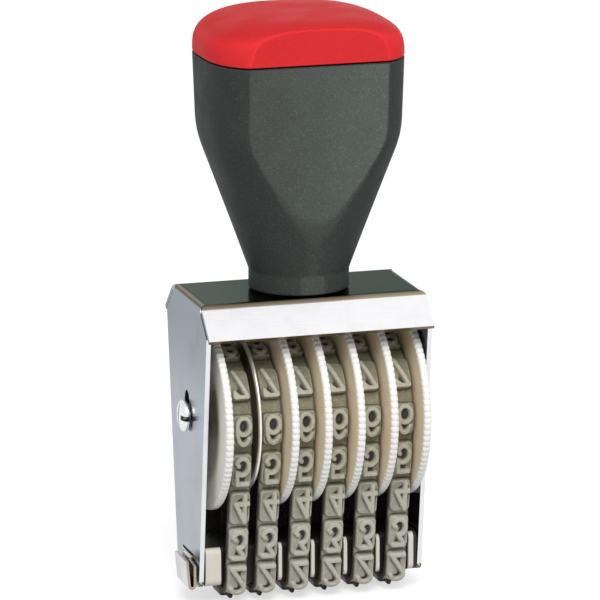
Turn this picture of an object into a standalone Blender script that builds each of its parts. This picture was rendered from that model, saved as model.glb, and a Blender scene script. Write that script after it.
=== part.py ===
"""Hand number stamp with six turning number bands, built as its separate pieces.

Run it with: blender --background --python part.py
Metres, +Z up. X runs along the axle, the front is -Y, and z = 0 is the printing plane,
under the middle of the stamp. Sizes that can be set are at the top, and every place is
worked out from them.
"""

import math

import bmesh
import bpy
from mathutils import Vector

# Number bands. The pad height holds the raised digit, whose face is 5 mm tall.
BAND_COUNT = 6
PADS_PER_BAND = 15
BAND_WIDTH = 0.0038
BAND_BASE = 0.0009
PAD_HEIGHT = 0.0016
PAD_LENGTH = 0.0061
PAD_SLOPE = 0.00025
PAD_SIDE_SLOPE = 0.00035

# Thumb wheels. Each has a drum that carries a band and a toothed rim beside the band.
WHEEL_RADIUS = 0.0166
RIM_THICKNESS = 0.00135
RIM_TEETH = 60
TOOTH_DEPTH = 0.0004
DRUM_RADIUS = 0.0098
DISH_RADIUS = 0.0104
DISH_DEPTH = 0.0004
WHEEL_SEGMENTS = 30

# Running gaps. SEAT_GAP lies between pieces that touch on the real stamp.
SEAT_GAP = 0.0003
RIM_GAP = 0.00025
FIRST_RIM_GAP = 0.00095
RIGHT_GAP = 0.00045
DRUM_END_GAP = 0.0002
BORE_CLEARANCE = 0.00015

# Axle, its two cross-slotted screws, the bush beside wheel 1 and the divider disc.
AXLE_RADIUS = 0.0020
SCREW_HEAD_RADIUS = 0.0028
SCREW_HEAD_HEIGHT = 0.0020
SCREW_SHANK_RADIUS = 0.0011
SCREW_SHANK_LENGTH = 0.0055
SCREW_SLOT = 0.0008
SCREW_SLOT_DEPTH = 0.0011
CROSS_SLOT_LENGTH = 0.0034
BUSH_LENGTH = 0.00125
BUSH_RADIUS = 0.0042
DIVIDER_THICKNESS = 0.0005
DIVIDER_RADIUS = 0.0138
DIVIDER_SIDE_GAP = 0.0005

# Print foot, the plastic comb that the bands turn round at the bottom.
FOOT_DEPTH = 0.0104
FOOT_HEIGHT = 0.0074
FOOT_CORNER = 0.0012
RIB_DEPTH = 0.0150
RIB_LIFT = 0.0009
CHEEK_PROUD = 0.0004
RIB_THICKNESS = 0.0006
CHEEK_WIDTH = 0.0027
WHEEL_TO_FOOT = 0.0059

# Band guard, a black plate that stands on the ribs inside the bands, before the rear run.
# Its left end has a tongue that reaches up under the divider disc.
GUARD_THICKNESS = 0.0008
GUARD_BEHIND_AXLE = 0.0045
GUARD_LEFT_INSET = 0.0013
GUARD_BELOW_WHEEL = 0.0004
TONGUE_BELOW_DIVIDER = 0.0005
TONGUE_BEFORE_RIM = 0.0004
GUARD_CORNER = 0.0006

# Foot bar, a strip through foot and side plates. Its left end is folded into a grip beside
# the plate, and its right end is a short hook.
BAR_THICKNESS = 0.0005
BAR_WIDTH = 0.0064
BAR_BELOW_FOOT_TOP = 0.0016
BAR_CLEARANCE = 0.0003
BAR_BEND = 0.0004
GRIP_FRONT = 0.0063
GRIP_BACK = 0.0010
GRIP_DROP = 0.0047
GRIP_FOLD = 0.0005
GRIP_SPREAD = 0.0004
GRIP_RISE = 0.0042
HOOK_DROP = 0.0026

# Bent steel frame: a top, two side plates and two lips cut from one sheet.
SHEET = 0.0008
SIDE_BEND = 0.0014
TOP_FLAT_DEPTH = 0.0160
LIP_BEND = 0.0027
LIP_ANGLE = math.radians(43.5)
LIP_STRAIGHT = 0.0063
LIP_INSET = 0.0001
SEAM_GAP = 0.0003
TOE_DEPTH = 0.0139
TOE_CORNER = 0.0012
TOE_ABOVE_FOOT = 0.0007
KEYHOLE_RISE = 0.0032
KEYHOLE_TIP = 0.0010

# Handle screw and washer, under the top of the frame.
HANDLE_SCREW_RADIUS = 0.0019
HANDLE_SCREW_LENGTH = 0.0140
HANDLE_HEAD_RADIUS = 0.0035
HANDLE_HEAD_HEIGHT = 0.0015
HANDLE_HEAD_SOCKET = 0.0016
HANDLE_SOCKET_DEPTH = 0.0008
WASHER_RADIUS = 0.0045
WASHER_THICKNESS = 0.0005
HEADROOM = 0.0014

# Handle body: round neck, flared cone and a rounded head with a flat face front and back.
NECK_RADIUS = 0.0087
NECK_HEIGHT = 0.0033
NECK_EDGE = 0.0003
CONE_HEIGHT = 0.0239
HEAD_HEIGHT = 0.0135
KINK_EASE = 0.0030
HEAD_FLARE_WIDTH = 0.00035
HEAD_FLARE_DEPTH = 0.0012
HEAD_HALF_WIDTH = 0.01735
HEAD_HALF_DEPTH = 0.0158
HEAD_SQUARE_SHARE = 3.0
NECK_SQUARE_SHARE = 2.0
FACE_HALF_DEPTH = 0.0135
FACE_TIP_HALF_DEPTH = 0.01095
FACE_TIP_DROP = 0.0283
BORE_DEPTH = 0.0160

# Handle cap: a plug in the head's pocket, an upright wall and a low dome.
CAP_WALL = 0.0004
CAP_DOME = 0.0071
CAP_GROOVE = 0.0002
POCKET_SHARE = 0.72
POCKET_DEPTH = 0.0060
PLUG_LENGTH = 0.0052
PLUG_FIT = 0.0003
DOME_WIDTH_SHARE = 2.95
DOME_DEPTH_SHARE = 4.2

# Smoothness of the round forms, in faces.
BEND_STEPS = 4
CORNER_STEPS = 3
PAD_STEPS = 4
FLAT_STEPS = 3
CURVE_STEPS = 6
CONE_STEPS = 7
DOME_STEPS = 10
TURN_STEPS = 24
BEND_ROUND = 16
SMOOTH_ANGLE = math.radians(35)

# One overrun for every cutter that has to pass right through a wall.
OVERRUN = 0.0010


# Places worked out from the sizes above
BAND_DEPTH = BAND_BASE + PAD_HEIGHT
BAND_INNER_RADIUS = DRUM_RADIUS + SEAT_GAP
FOOT_BOTTOM = BAND_DEPTH + SEAT_GAP
FOOT_TOP = FOOT_BOTTOM + FOOT_HEIGHT
AXLE_Z = FOOT_TOP + WHEEL_TO_FOOT + WHEEL_RADIUS
TOP_UNDERSIDE = (
    AXLE_Z + WHEEL_RADIUS + HEADROOM + HANDLE_HEAD_HEIGHT + WASHER_THICKNESS + 2 * SEAT_GAP
)
FRAME_TOP = TOP_UNDERSIDE + SHEET
FRAME_TOE = FOOT_BOTTOM + TOE_ABOVE_FOOT
BAR_Z = FOOT_TOP - BAR_BELOW_FOOT_TOP

# The stack along the axle, from the inside of the left plate to that of the right
DRUM_LENGTH = BAND_WIDTH + RIM_GAP + SEAT_GAP
BAND_PITCH = DRUM_LENGTH + DRUM_END_GAP + RIM_THICKNESS
FIRST_PITCH = BAND_WIDTH + DIVIDER_THICKNESS + 2 * DIVIDER_SIDE_GAP
LEFT_SPACE = BUSH_LENGTH + 2 * DRUM_END_GAP
STACK = (
    LEFT_SPACE
    + RIM_THICKNESS
    + FIRST_RIM_GAP
    + FIRST_PITCH
    + (BAND_COUNT - 2) * BAND_PITCH
    + BAND_WIDTH
    + RIM_GAP
    + RIM_THICKNESS
    + RIGHT_GAP
)
FRAME_WIDTH = STACK + 2 * SHEET
HALF_WIDTH = FRAME_WIDTH / 2
INSIDE = STACK / 2
FIRST_BAND = -INSIDE + LEFT_SPACE + RIM_THICKNESS + FIRST_RIM_GAP + BAND_WIDTH / 2

# The handle's kink, a little narrower than its head
KINK_HALF_WIDTH = HEAD_HALF_WIDTH - HEAD_FLARE_WIDTH
KINK_HALF_DEPTH = HEAD_HALF_DEPTH - HEAD_FLARE_DEPTH

# Handle levels
NECK_BOTTOM = FRAME_TOP + SEAT_GAP
NECK_TOP = NECK_BOTTOM + NECK_HEIGHT
KINK_Z = NECK_TOP + CONE_HEIGHT
PARTING_Z = KINK_Z + HEAD_HEIGHT


def band_x(number):
    """Middle of a band along the axle. Bands 1 and 2 lie closer than the others."""
    if number == 1:
        return FIRST_BAND
    return FIRST_BAND + FIRST_PITCH + (number - 2) * BAND_PITCH


def clear_scene():
    """Removes what a new file starts with."""
    for obj in list(bpy.data.objects):
        bpy.data.objects.remove(obj)


def make_material(name, colour, roughness, metallic=0.0):
    """A Principled surface with one colour, roughness and metallic value."""
    material = bpy.data.materials.new(name)
    material.use_nodes = True
    shader = material.node_tree.nodes["Principled BSDF"]
    shader.inputs["Base Color"].default_value = (*colour, 1.0)
    shader.inputs["Roughness"].default_value = roughness
    shader.inputs["Metallic"].default_value = metallic
    return material


def add_piece(name, bm, material, origin=(0, 0, 0)):
    """Makes a named object from a mesh drawn in world places, with its origin moved to origin."""
    bmesh.ops.recalc_face_normals(bm, faces=bm.faces)
    bmesh.ops.translate(bm, verts=bm.verts, vec=-Vector(origin))
    mesh = bpy.data.meshes.new(name)
    bm.to_mesh(mesh)
    bm.free()
    if material is not None:
        mesh.materials.append(material)
    mesh.shade_smooth()
    mesh.set_sharp_from_angle(angle=SMOOTH_ANGLE)
    piece = bpy.data.objects.new(name, mesh)
    piece.location = origin
    bpy.context.scene.collection.objects.link(piece)
    return piece


def cut(piece, cutter):
    """Takes the cutter's volume out of the piece and keeps the cutter as a hidden guide."""
    cutter.hide_render = True
    cutter.display_type = "WIRE"
    step = piece.modifiers.new(cutter.name, "BOOLEAN")
    step.operation = "DIFFERENCE"
    step.object = cutter


def arc(centre, radius, start, end, steps):
    """Points on a circle in a plane, from one angle to another, both ends included."""
    points = []
    for i in range(steps + 1):
        angle = start + (end - start) * i / steps
        points.append((centre[0] + radius * math.cos(angle), centre[1] + radius * math.sin(angle)))
    return points


def add_loop(bm, points):
    """Adds a closed ring of points and its edges."""
    verts = [bm.verts.new(p) for p in points]
    edges = [bm.edges.new((v, verts[i - 1])) for i, v in enumerate(verts)]
    return verts, edges


def skin_rings(bm, rings, close_first=True, close_last=True):
    """Joins rings of equal count with quads in their order, and caps the two ends."""
    loops = [[bm.verts.new(p) for p in ring] for ring in rings]
    for low, high in zip(loops, loops[1:]):
        for i in range(len(low)):
            bm.faces.new((low[i - 1], low[i], high[i], high[i - 1]))
    if close_first:
        bm.faces.new(loops[0])
    if close_last:
        bm.faces.new(list(reversed(loops[-1])))


def extrude_outline(outline, low, high):
    """A closed YZ outline carried along X from low to high."""
    bm = bmesh.new()
    skin_rings(bm, [[(x, y, z) for y, z in outline] for x in (low, high)])
    return bm


def box_mesh(low, high):
    """A box between two corners."""
    outline = [(low[1], low[2]), (high[1], low[2]), (high[1], high[2]), (low[1], high[2])]
    return extrude_outline(outline, low[0], high[0])


def ring_of(count, radius, x, z, toothed=0.0):
    """A circle round an axis along X. Every second point is drawn in by the tooth depth."""
    points = []
    for i in range(count):
        angle = 2 * math.pi * i / count
        r = radius - (toothed if i % 2 else 0)
        points.append((x, r * math.cos(angle), z + r * math.sin(angle)))
    return points


def turn_profile(profile, steps):
    """Spins an open (x, radius) profile, whose ends lie on the axis, about X."""
    bm = bmesh.new()
    verts = [bm.verts.new((x, radius, 0)) for x, radius in profile]
    edges = [bm.edges.new(pair) for pair in zip(verts, verts[1:])]
    bmesh.ops.spin(
        bm,
        geom=verts + edges,
        cent=(0, 0, 0),
        axis=(1, 0, 0),
        angle=2 * math.pi,
        steps=steps,
        use_merge=True,
    )
    bmesh.ops.remove_doubles(bm, verts=bm.verts, dist=BORE_CLEARANCE / steps)
    return bm


def rounded_outline(half_depth, low, high, radius):
    """A YZ rectangle about Y = 0 with round corners, from z low to z high."""
    y, quarter = half_depth - radius, math.pi / 2
    points = arc((y, high - radius), radius, 0, quarter, CORNER_STEPS)
    points += arc((-y, high - radius), radius, quarter, 2 * quarter, CORNER_STEPS)
    points += arc((-y, low + radius), radius, 2 * quarter, 3 * quarter, CORNER_STEPS)
    points += arc((y, low + radius), radius, 3 * quarter, 4 * quarter, CORNER_STEPS)
    return points


# Frame


def lip_rows():
    """Outer face of a lip as (distance from the middle, height, half width) rows."""
    rows = []
    flat = TOP_FLAT_DEPTH / 2
    start, end = HALF_WIDTH - SIDE_BEND, HALF_WIDTH - LIP_INSET
    for i in range(BEND_STEPS + 1):
        angle = LIP_ANGLE * i / BEND_STEPS
        share = math.sin(math.pi / 2 * i / BEND_STEPS)
        y = flat + LIP_BEND * math.sin(angle)
        z = FRAME_TOP - LIP_BEND * (1 - math.cos(angle))
        rows.append((y, z, start + (end - start) * share))
    y, z, half = rows[-1]
    rows.append((y + LIP_STRAIGHT * math.cos(LIP_ANGLE), z - LIP_STRAIGHT * math.sin(LIP_ANGLE), half))
    return rows


def plate_rows():
    """Outer face of a side plate as (distance from the middle, height, half depth) rows.

    It bends down from the top, follows the inside of the lips at the shoulders, tapers to
    the toe and ends in small round corners.
    """
    flat = TOP_FLAT_DEPTH / 2
    inner = LIP_BEND - SHEET - SEAM_GAP
    centre_z = FRAME_TOP - LIP_BEND
    first = math.acos(min(1.0, (LIP_BEND - SIDE_BEND) / inner))
    rows = []
    for i in range(BEND_STEPS + 1):
        angle = math.pi / 2 * i / BEND_STEPS
        x = HALF_WIDTH - SIDE_BEND * (1 - math.sin(angle))
        z = FRAME_TOP - SIDE_BEND * (1 - math.cos(angle))
        rows.append((x, z, flat + inner * math.sin(first) * i / BEND_STEPS))
    for i in range(1, BEND_STEPS + 1):
        angle = first + (LIP_ANGLE - first) * i / BEND_STEPS
        rows.append((HALF_WIDTH, centre_z + inner * math.cos(angle), flat + inner * math.sin(angle)))
    lip_low = lip_rows()[-1][1]
    shoulder_z, shoulder = rows[-1][1], rows[-1][2]
    shoulder += (shoulder_z - lip_low) / math.tan(LIP_ANGLE)
    rows.append((HALF_WIDTH, lip_low, shoulder))
    toe = TOE_DEPTH / 2
    for y, z in arc((toe - TOE_CORNER, FRAME_TOE + TOE_CORNER), TOE_CORNER, 0, -math.pi / 2, CORNER_STEPS):
        rows.append((HALF_WIDTH, z, y))
    return rows


def add_flap(bm, first_pair, rows, place):
    """Adds a strip of quads that starts on an edge of the top. place turns a row into two points."""
    pair = first_pair
    for row in rows[1:]:
        following = [bm.verts.new(p) for p in place(row)]
        bm.faces.new((pair[0], pair[1], following[1], following[0]))
        pair = following


def keyhole_outline():
    """YZ outline of the plates' hole: a circle round the axle that narrows to a round tip above."""
    radius = AXLE_RADIUS + BORE_CLEARANCE
    lean = math.asin((radius - KEYHOLE_TIP) / KEYHOLE_RISE)
    points = arc((0, AXLE_Z), radius, math.pi - lean, 2 * math.pi + lean, BEND_ROUND)
    points += arc((0, AXLE_Z + KEYHOLE_RISE), KEYHOLE_TIP, lean, math.pi - lean, 2 * CORNER_STEPS)
    return points


def build_frame(steel):
    """The bent sheet: its outer skin with four flaps, given its thickness and then its holes."""
    flat, edge = TOP_FLAT_DEPTH / 2, HALF_WIDTH - SIDE_BEND
    bm = bmesh.new()
    corners = {
        (sx, sy): bm.verts.new((sx * edge, sy * flat, FRAME_TOP)) for sx in (-1, 1) for sy in (-1, 1)
    }
    bm.faces.new((corners[-1, -1], corners[1, -1], corners[1, 1], corners[-1, 1]))
    for side in (-1, 1):
        add_flap(
            bm,
            (corners[side, side], corners[side, -side]),
            plate_rows(),
            lambda row, s=side: [(s * row[0], s * row[2], row[1]), (s * row[0], -s * row[2], row[1])],
        )
        add_flap(
            bm,
            (corners[-side, side], corners[side, side]),
            lip_rows(),
            lambda row, s=side: [(-s * row[2], s * row[0], row[1]), (s * row[2], s * row[0], row[1])],
        )
    frame = add_piece("frame", bm, steel)
    if frame.data.polygons[0].normal.z < 0:
        frame.data.flip_normals()
    wall = frame.modifiers.new("sheet", "SOLIDIFY")
    wall.thickness = SHEET
    wall.offset = -1
    wall.use_even_offset = True
    reach = HALF_WIDTH + OVERRUN
    cut(frame, add_piece("cut_keyhole", extrude_outline(keyhole_outline(), -reach, reach), None))
    half, thick = BAR_WIDTH / 2 + BAR_CLEARANCE, BAR_THICKNESS / 2 + BAR_CLEARANCE
    slot = box_mesh((-reach, -half, BAR_Z - thick), (reach, half, BAR_Z + thick))
    cut(frame, add_piece("cut_bar_slots", slot, None))
    cut(frame, add_piece("cut_screw_hole", screw_hole_mesh(), None))
    return frame


def screw_hole_mesh():
    """A rod through the top of the frame, a clearance wider than the handle screw."""
    bm = bmesh.new()
    radius = HANDLE_SCREW_RADIUS + SEAT_GAP
    low, high = TOP_UNDERSIDE - OVERRUN, FRAME_TOP + OVERRUN
    skin_rings(bm, [[(x, y, z) for x, y in circle(radius, TURN_STEPS)] for z in (low, high)])
    return bm


def circle(radius, count):
    """Points of a circle about the origin, the last before the first."""
    return arc((0, 0), radius, 0, 2 * math.pi * (count - 1) / count, count - 1)


# Axle, screws, bush and divider


def build_axle(steel):
    """A rod through both plates with a tapped hole in each end."""
    hole = SCREW_SHANK_RADIUS + SEAT_GAP
    deep = HALF_WIDTH - SCREW_SHANK_LENGTH - SEAT_GAP
    profile = [
        (-deep, 0),
        (-deep, hole),
        (-HALF_WIDTH, hole),
        (-HALF_WIDTH, AXLE_RADIUS),
        (HALF_WIDTH, AXLE_RADIUS),
        (HALF_WIDTH, hole),
        (deep, hole),
        (deep, 0),
    ]
    axle = add_piece("axle", turn_profile(profile, TURN_STEPS), steel)
    axle.location = (0, 0, AXLE_Z)
    return axle


def build_axle_screw(name, side, steel):
    """A domed screw with one full slot and one short slot across it, in an end of the axle."""
    seat = HALF_WIDTH + SEAT_GAP
    end = seat + SCREW_HEAD_HEIGHT
    wall = SCREW_HEAD_HEIGHT - SCREW_SLOT_DEPTH
    profile = [
        (side * (seat - SCREW_SHANK_LENGTH), 0),
        (side * (seat - SCREW_SHANK_LENGTH), SCREW_SHANK_RADIUS),
        (side * seat, SCREW_SHANK_RADIUS),
        (side * seat, SCREW_HEAD_RADIUS),
    ]
    for i in range(BEND_STEPS):
        angle = math.pi / 2 * i / BEND_STEPS
        x = seat + wall + (SCREW_HEAD_HEIGHT - wall) * math.sin(angle)
        profile.append((side * x, SCREW_HEAD_RADIUS * math.cos(angle)))
    profile.append((side * end, 0))
    screw = add_piece(name, turn_profile(profile, TURN_STEPS), steel)
    screw.location = (0, 0, AXLE_Z)
    floor, past = end - SCREW_SLOT_DEPTH, end + OVERRUN
    low, high = sorted((side * floor, side * past))
    half, tall = SCREW_SLOT / 2, SCREW_HEAD_RADIUS + OVERRUN
    slot = box_mesh((low, -half, AXLE_Z - tall), (high, half, AXLE_Z + tall))
    cut(screw, add_piece("cut_slot_" + name, slot, None))
    reach = CROSS_SLOT_LENGTH / 2
    low, high = sorted((side * (floor - SCREW_SLOT_DEPTH / BEND_STEPS), side * past))
    cross = box_mesh((low, -reach, AXLE_Z - half), (high, reach, AXLE_Z + half))
    cut(screw, add_piece("cut_cross_" + name, cross, None))
    return screw


def build_ring(name, low, high, outer, material):
    """A flat ring on the axle, such as the bush and the divider disc."""
    bm = bmesh.new()
    bore = AXLE_RADIUS + BORE_CLEARANCE
    rings = [
        ring_of(WHEEL_SEGMENTS, bore, low, AXLE_Z),
        ring_of(WHEEL_SEGMENTS, outer, low, AXLE_Z),
        ring_of(WHEEL_SEGMENTS, outer, high, AXLE_Z),
        ring_of(WHEEL_SEGMENTS, bore, high, AXLE_Z),
    ]
    close_rings(bm, rings)
    return add_piece(name, bm, material)


def close_rings(bm, rings):
    """Joins rings in their order and the last to the first, as the skin of a ring-shaped body.

    Two rings of unlike count lie in one plane, and that plane is filled between them.
    It gives back each ring's points.
    """
    loops = [add_loop(bm, ring) for ring in rings]
    for i, (verts, edges) in enumerate(loops):
        before, before_edges = loops[i - 1]
        if len(verts) == len(before):
            for k in range(len(verts)):
                bm.faces.new((before[k - 1], before[k], verts[k], verts[k - 1]))
        else:
            bmesh.ops.triangle_fill(bm, edges=edges + before_edges, use_beauty=True)
    return [verts for verts, _ in loops]


# Thumb wheels


def build_wheel(number, nylon):
    """A drum with a toothed rim. Wheel 1 has its rim left of its band, the others to the right."""
    side = -1 if number == 1 else 1
    middle = band_x(number)
    inner = middle + side * (BAND_WIDTH / 2 + (FIRST_RIM_GAP if number == 1 else RIM_GAP))
    outer = inner + side * RIM_THICKNESS
    floor = outer - side * DISH_DEPTH
    drum_end = middle - side * (BAND_WIDTH / 2 + SEAT_GAP)
    bore = AXLE_RADIUS + BORE_CLEARANCE
    teeth = 2 * RIM_TEETH
    rings = [
        ring_of(WHEEL_SEGMENTS, bore, drum_end, AXLE_Z),
        ring_of(WHEEL_SEGMENTS, DRUM_RADIUS, drum_end, AXLE_Z),
        ring_of(WHEEL_SEGMENTS, DRUM_RADIUS, inner, AXLE_Z),
        ring_of(teeth, WHEEL_RADIUS, inner, AXLE_Z, TOOTH_DEPTH),
        ring_of(teeth, WHEEL_RADIUS, outer, AXLE_Z, TOOTH_DEPTH),
        ring_of(WHEEL_SEGMENTS, DISH_RADIUS, outer, AXLE_Z),
        ring_of(WHEEL_SEGMENTS, DISH_RADIUS - DISH_DEPTH, floor, AXLE_Z),
        ring_of(WHEEL_SEGMENTS, bore, floor, AXLE_Z),
    ]
    bm = bmesh.new()
    close_rings(bm, rings)
    return add_piece(f"thumb_wheel_{number}", bm, nylon, (middle, 0, AXLE_Z))


# Number bands


def band_path():
    """Front half of a band's inner face as stretches: (length, function of distance).

    The band starts under the middle of the foot, turns the foot's front corner, runs up in
    a straight line that leans forward and wraps the drum to its top. Each function gives y,
    z and the angle of the outward normal in the YZ plane.
    """
    corner = FOOT_CORNER + SEAT_GAP
    corner_y, corner_z = -(FOOT_DEPTH / 2 + SEAT_GAP - corner), BAND_DEPTH + corner
    rise, step = AXLE_Z - corner_z, BAND_INNER_RADIUS - corner
    reach = math.hypot(corner_y, rise)
    lean = math.asin(step / reach) - math.atan2(-corner_y, rise)
    down, front = -math.pi / 2, -math.pi + lean
    run = math.sqrt(reach**2 - step**2)
    start_y, start_z = corner_y + corner * math.cos(front), corner_z + corner * math.sin(front)

    def under(s):
        return -s, BAND_DEPTH, down

    def round_corner(s):
        angle = down - s / corner
        return corner_y + corner * math.cos(angle), corner_z + corner * math.sin(angle), angle

    def straight(s):
        return start_y + s * math.sin(front), start_z - s * math.cos(front), front

    def round_drum(s):
        angle = front - s / BAND_INNER_RADIUS
        y, z = BAND_INNER_RADIUS * math.cos(angle), AXLE_Z + BAND_INNER_RADIUS * math.sin(angle)
        return y, z, angle

    return [
        (-corner_y, under),
        (corner * (down - front), round_corner),
        (run, straight),
        (BAND_INNER_RADIUS * (math.pi / 2 + lean), round_drum),
    ]


def band_point(distance, height, half_path):
    """The point a height above the inner face, for any distance round the whole loop."""
    half = sum(length for length, _ in half_path)
    s = distance % (2 * half)
    side = 1
    if s > half:
        s, side = 2 * half - s, -1
    stretch = 0
    while stretch < len(half_path) - 1 and s > half_path[stretch][0]:
        s -= half_path[stretch][0]
        stretch += 1
    y, z, angle = half_path[stretch][1](s)
    return side * (y + height * math.cos(angle)), z + height * math.sin(angle)


def inner_stops(half_path):
    """Distances at which the inner face needs a point: its corners, and steps round its arcs."""
    steps = (1, CORNER_STEPS, 1, BEND_ROUND // 2)
    stops, s = [], 0.0
    for (length, _), count in zip(half_path, steps):
        stops += [s + length * i / count for i in range(1, count + 1)]
        s += length
    return stops + [2 * s - stop for stop in reversed(stops[:-1])]


def pad_reach(middle, half_path):
    """Half of a pad's length, measured on the inner face. A pad keeps its length at its top
    face, so on the drum it covers less of the inner face than on the straight run."""
    drum_start = sum(length for length, _ in half_path[:-1])
    total = 2 * sum(length for length, _ in half_path)
    if min(middle, total - middle) < drum_start:
        return PAD_LENGTH / 2
    return PAD_LENGTH / 2 * BAND_INNER_RADIUS / (BAND_INNER_RADIUS + BAND_DEPTH)


def build_band(number, rubber):
    """A rubber loop whose pads are extruded from its outer face, with sloping sides."""
    half_path = band_path()
    total = 2 * sum(length for length, _ in half_path)
    inner = [band_point(s, 0, half_path) for s in inner_stops(half_path)]
    outer, faces = [], []
    for pad in range(PADS_PER_BAND):
        middle = total * pad / PADS_PER_BAND
        reach = pad_reach(middle, half_path)
        for i in range(PAD_STEPS + 1):
            s = middle + reach * (2 * i / PAD_STEPS - 1)
            outer.append(band_point(s, BAND_BASE, half_path))
            if i < PAD_STEPS:
                faces.append((pad, len(outer) - 1))
    x, half = band_x(number), BAND_WIDTH / 2
    bm = bmesh.new()
    loops = close_rings(
        bm,
        [
            [(x - half, y, z) for y, z in inner],
            [(x - half, y, z) for y, z in outer],
            [(x + half, y, z) for y, z in outer],
            [(x + half, y, z) for y, z in inner],
        ],
    )
    left, right = loops[1], loops[2]
    for pad in range(PADS_PER_BAND):
        middle = total * pad / PADS_PER_BAND
        starts = [start for owner, start in faces if owner == pad]
        quads = [bm.faces.get((left[k], left[k + 1], right[k + 1], right[k])) for k in starts]
        grown = bmesh.ops.extrude_face_region(bm, geom=quads)
        bmesh.ops.delete(bm, geom=quads, context="FACES_ONLY")
        verts = [v for v in grown["geom"] if isinstance(v, bmesh.types.BMVert)]
        shape_pad(verts, middle, x, half_path)
    return add_piece(f"number_band_{number}", bm, rubber)


def shape_pad(verts, middle, x, half_path):
    """Moves a pad's face out to its height and draws its four sides in by their slopes."""
    reach = pad_reach(middle, half_path)
    stops = [middle + reach * (2 * i / PAD_STEPS - 1) for i in range(PAD_STEPS + 1)]
    feet = [band_point(s, BAND_BASE, half_path) for s in stops]
    tops = [
        band_point(middle + (s - middle) * (1 - PAD_SLOPE / reach), BAND_DEPTH, half_path) for s in stops
    ]
    for vert in verts:
        place = min(range(len(feet)), key=lambda i: math.dist(feet[i], (vert.co.y, vert.co.z)))
        side = math.copysign(BAND_WIDTH / 2 - PAD_SIDE_SLOPE, vert.co.x - x)
        vert.co = (x + side, *tops[place])


# Print foot and foot bar


def build_foot(plastic):
    """A comb: a core that the bands turn round, a rib right of each band but the first and the
    last, and a cheek at each end."""
    core = rounded_outline(FOOT_DEPTH / 2, FOOT_BOTTOM, FOOT_TOP, FOOT_CORNER)
    low = FOOT_BOTTOM + RIB_LIFT
    wall = rounded_outline(RIB_DEPTH / 2, low, FOOT_TOP + CHEEK_PROUD, FOOT_CORNER)
    left, right = -INSIDE + SEAT_GAP, INSIDE - SEAT_GAP
    last = band_x(BAND_COUNT) + BAND_WIDTH / 2 + SEAT_GAP
    walls = [(left, left + CHEEK_WIDTH)]
    for number in range(2, BAND_COUNT):
        side = band_x(number) + BAND_WIDTH / 2 + SEAT_GAP
        walls.append((side, side + RIB_THICKNESS))
    walls.append((last, right))
    rings = []
    for index, (low, high) in enumerate(walls):
        if index > 0:
            rings.append([(low, y, z) for y, z in core])
        rings += [[(x, y, z) for y, z in wall] for x in (low, high)]
        if index < len(walls) - 1:
            rings.append([(high, y, z) for y, z in core])
    bm = bmesh.new()
    skin_rings(bm, rings)
    foot = add_piece("print_foot", bm, plastic)
    half, thick = BAR_WIDTH / 2 + BAR_CLEARANCE, BAR_THICKNESS / 2 + BAR_CLEARANCE
    reach = INSIDE + OVERRUN
    slot = box_mesh((-reach, -half, BAR_Z - thick), (reach, half, BAR_Z + thick))
    cut(foot, add_piece("cut_foot_slot", slot, None))
    return foot


def build_guard(plastic):
    """A plate across the stamp with a tongue at its left end and round top corners.

    Its top follows the height of the wheels' and the divider's rims where it stands.
    """
    low = FOOT_TOP + CHEEK_PROUD + SEAT_GAP
    near = GUARD_BEHIND_AXLE - GUARD_THICKNESS / 2
    far = near + GUARD_THICKNESS
    high = AXLE_Z - math.sqrt(WHEEL_RADIUS**2 - near**2) - GUARD_BELOW_WHEEL
    tongue = AXLE_Z - math.sqrt(DIVIDER_RADIUS**2 - near**2) - TONGUE_BELOW_DIVIDER
    left = band_x(1) + BAND_WIDTH / 2 - GUARD_LEFT_INSET
    right = INSIDE - SEAT_GAP
    step = band_x(2) + BAND_WIDTH / 2 + RIM_GAP - TONGUE_BEFORE_RIM
    quarter = math.pi / 2
    outline = [(left, low), (right, low)]
    outline += arc((right - GUARD_CORNER, high - GUARD_CORNER), GUARD_CORNER, 0, quarter, CORNER_STEPS)
    outline.append((step, high))
    for x, start in ((step - GUARD_CORNER, 0), (left + GUARD_CORNER, quarter)):
        outline += arc((x, tongue - GUARD_CORNER), GUARD_CORNER, start, start + quarter, CORNER_STEPS)
    bm = bmesh.new()
    skin_rings(bm, [[(x, y, z) for x, z in outline] for y in (near, far)])
    return add_piece("band_guard", bm, plastic)


def bar_rows():
    """The strip's middle line in XZ from the grip's tip to the hook's, as (x, z, front, back).

    front and back are the strip's reach to each side of Y = 0.
    """
    near = HALF_WIDTH + SEAT_GAP + BAR_THICKNESS / 2
    half = BAR_WIDTH / 2
    fold_z, far = BAR_Z - GRIP_DROP, near + 2 * GRIP_FOLD
    rows = [(-far - GRIP_SPREAD, fold_z + GRIP_RISE, GRIP_FRONT, GRIP_BACK)]
    for x, z in arc((-near - GRIP_FOLD, fold_z), GRIP_FOLD, math.pi, 2 * math.pi, BEND_STEPS):
        rows.append((x, z, GRIP_FRONT, GRIP_BACK))
    rows.append((-near, BAR_Z - 2 * BAR_BEND, GRIP_FRONT, GRIP_BACK))
    for x, z in arc((-near + BAR_BEND, BAR_Z - BAR_BEND), BAR_BEND, math.pi, math.pi / 2, CORNER_STEPS):
        rows.append((x, z, half, half))
    for x, z in arc((near - BAR_BEND, BAR_Z - BAR_BEND), BAR_BEND, math.pi / 2, 0, CORNER_STEPS):
        rows.append((x, z, half, half))
    rows.append((near, BAR_Z - HOOK_DROP, half, half))
    return rows


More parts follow.
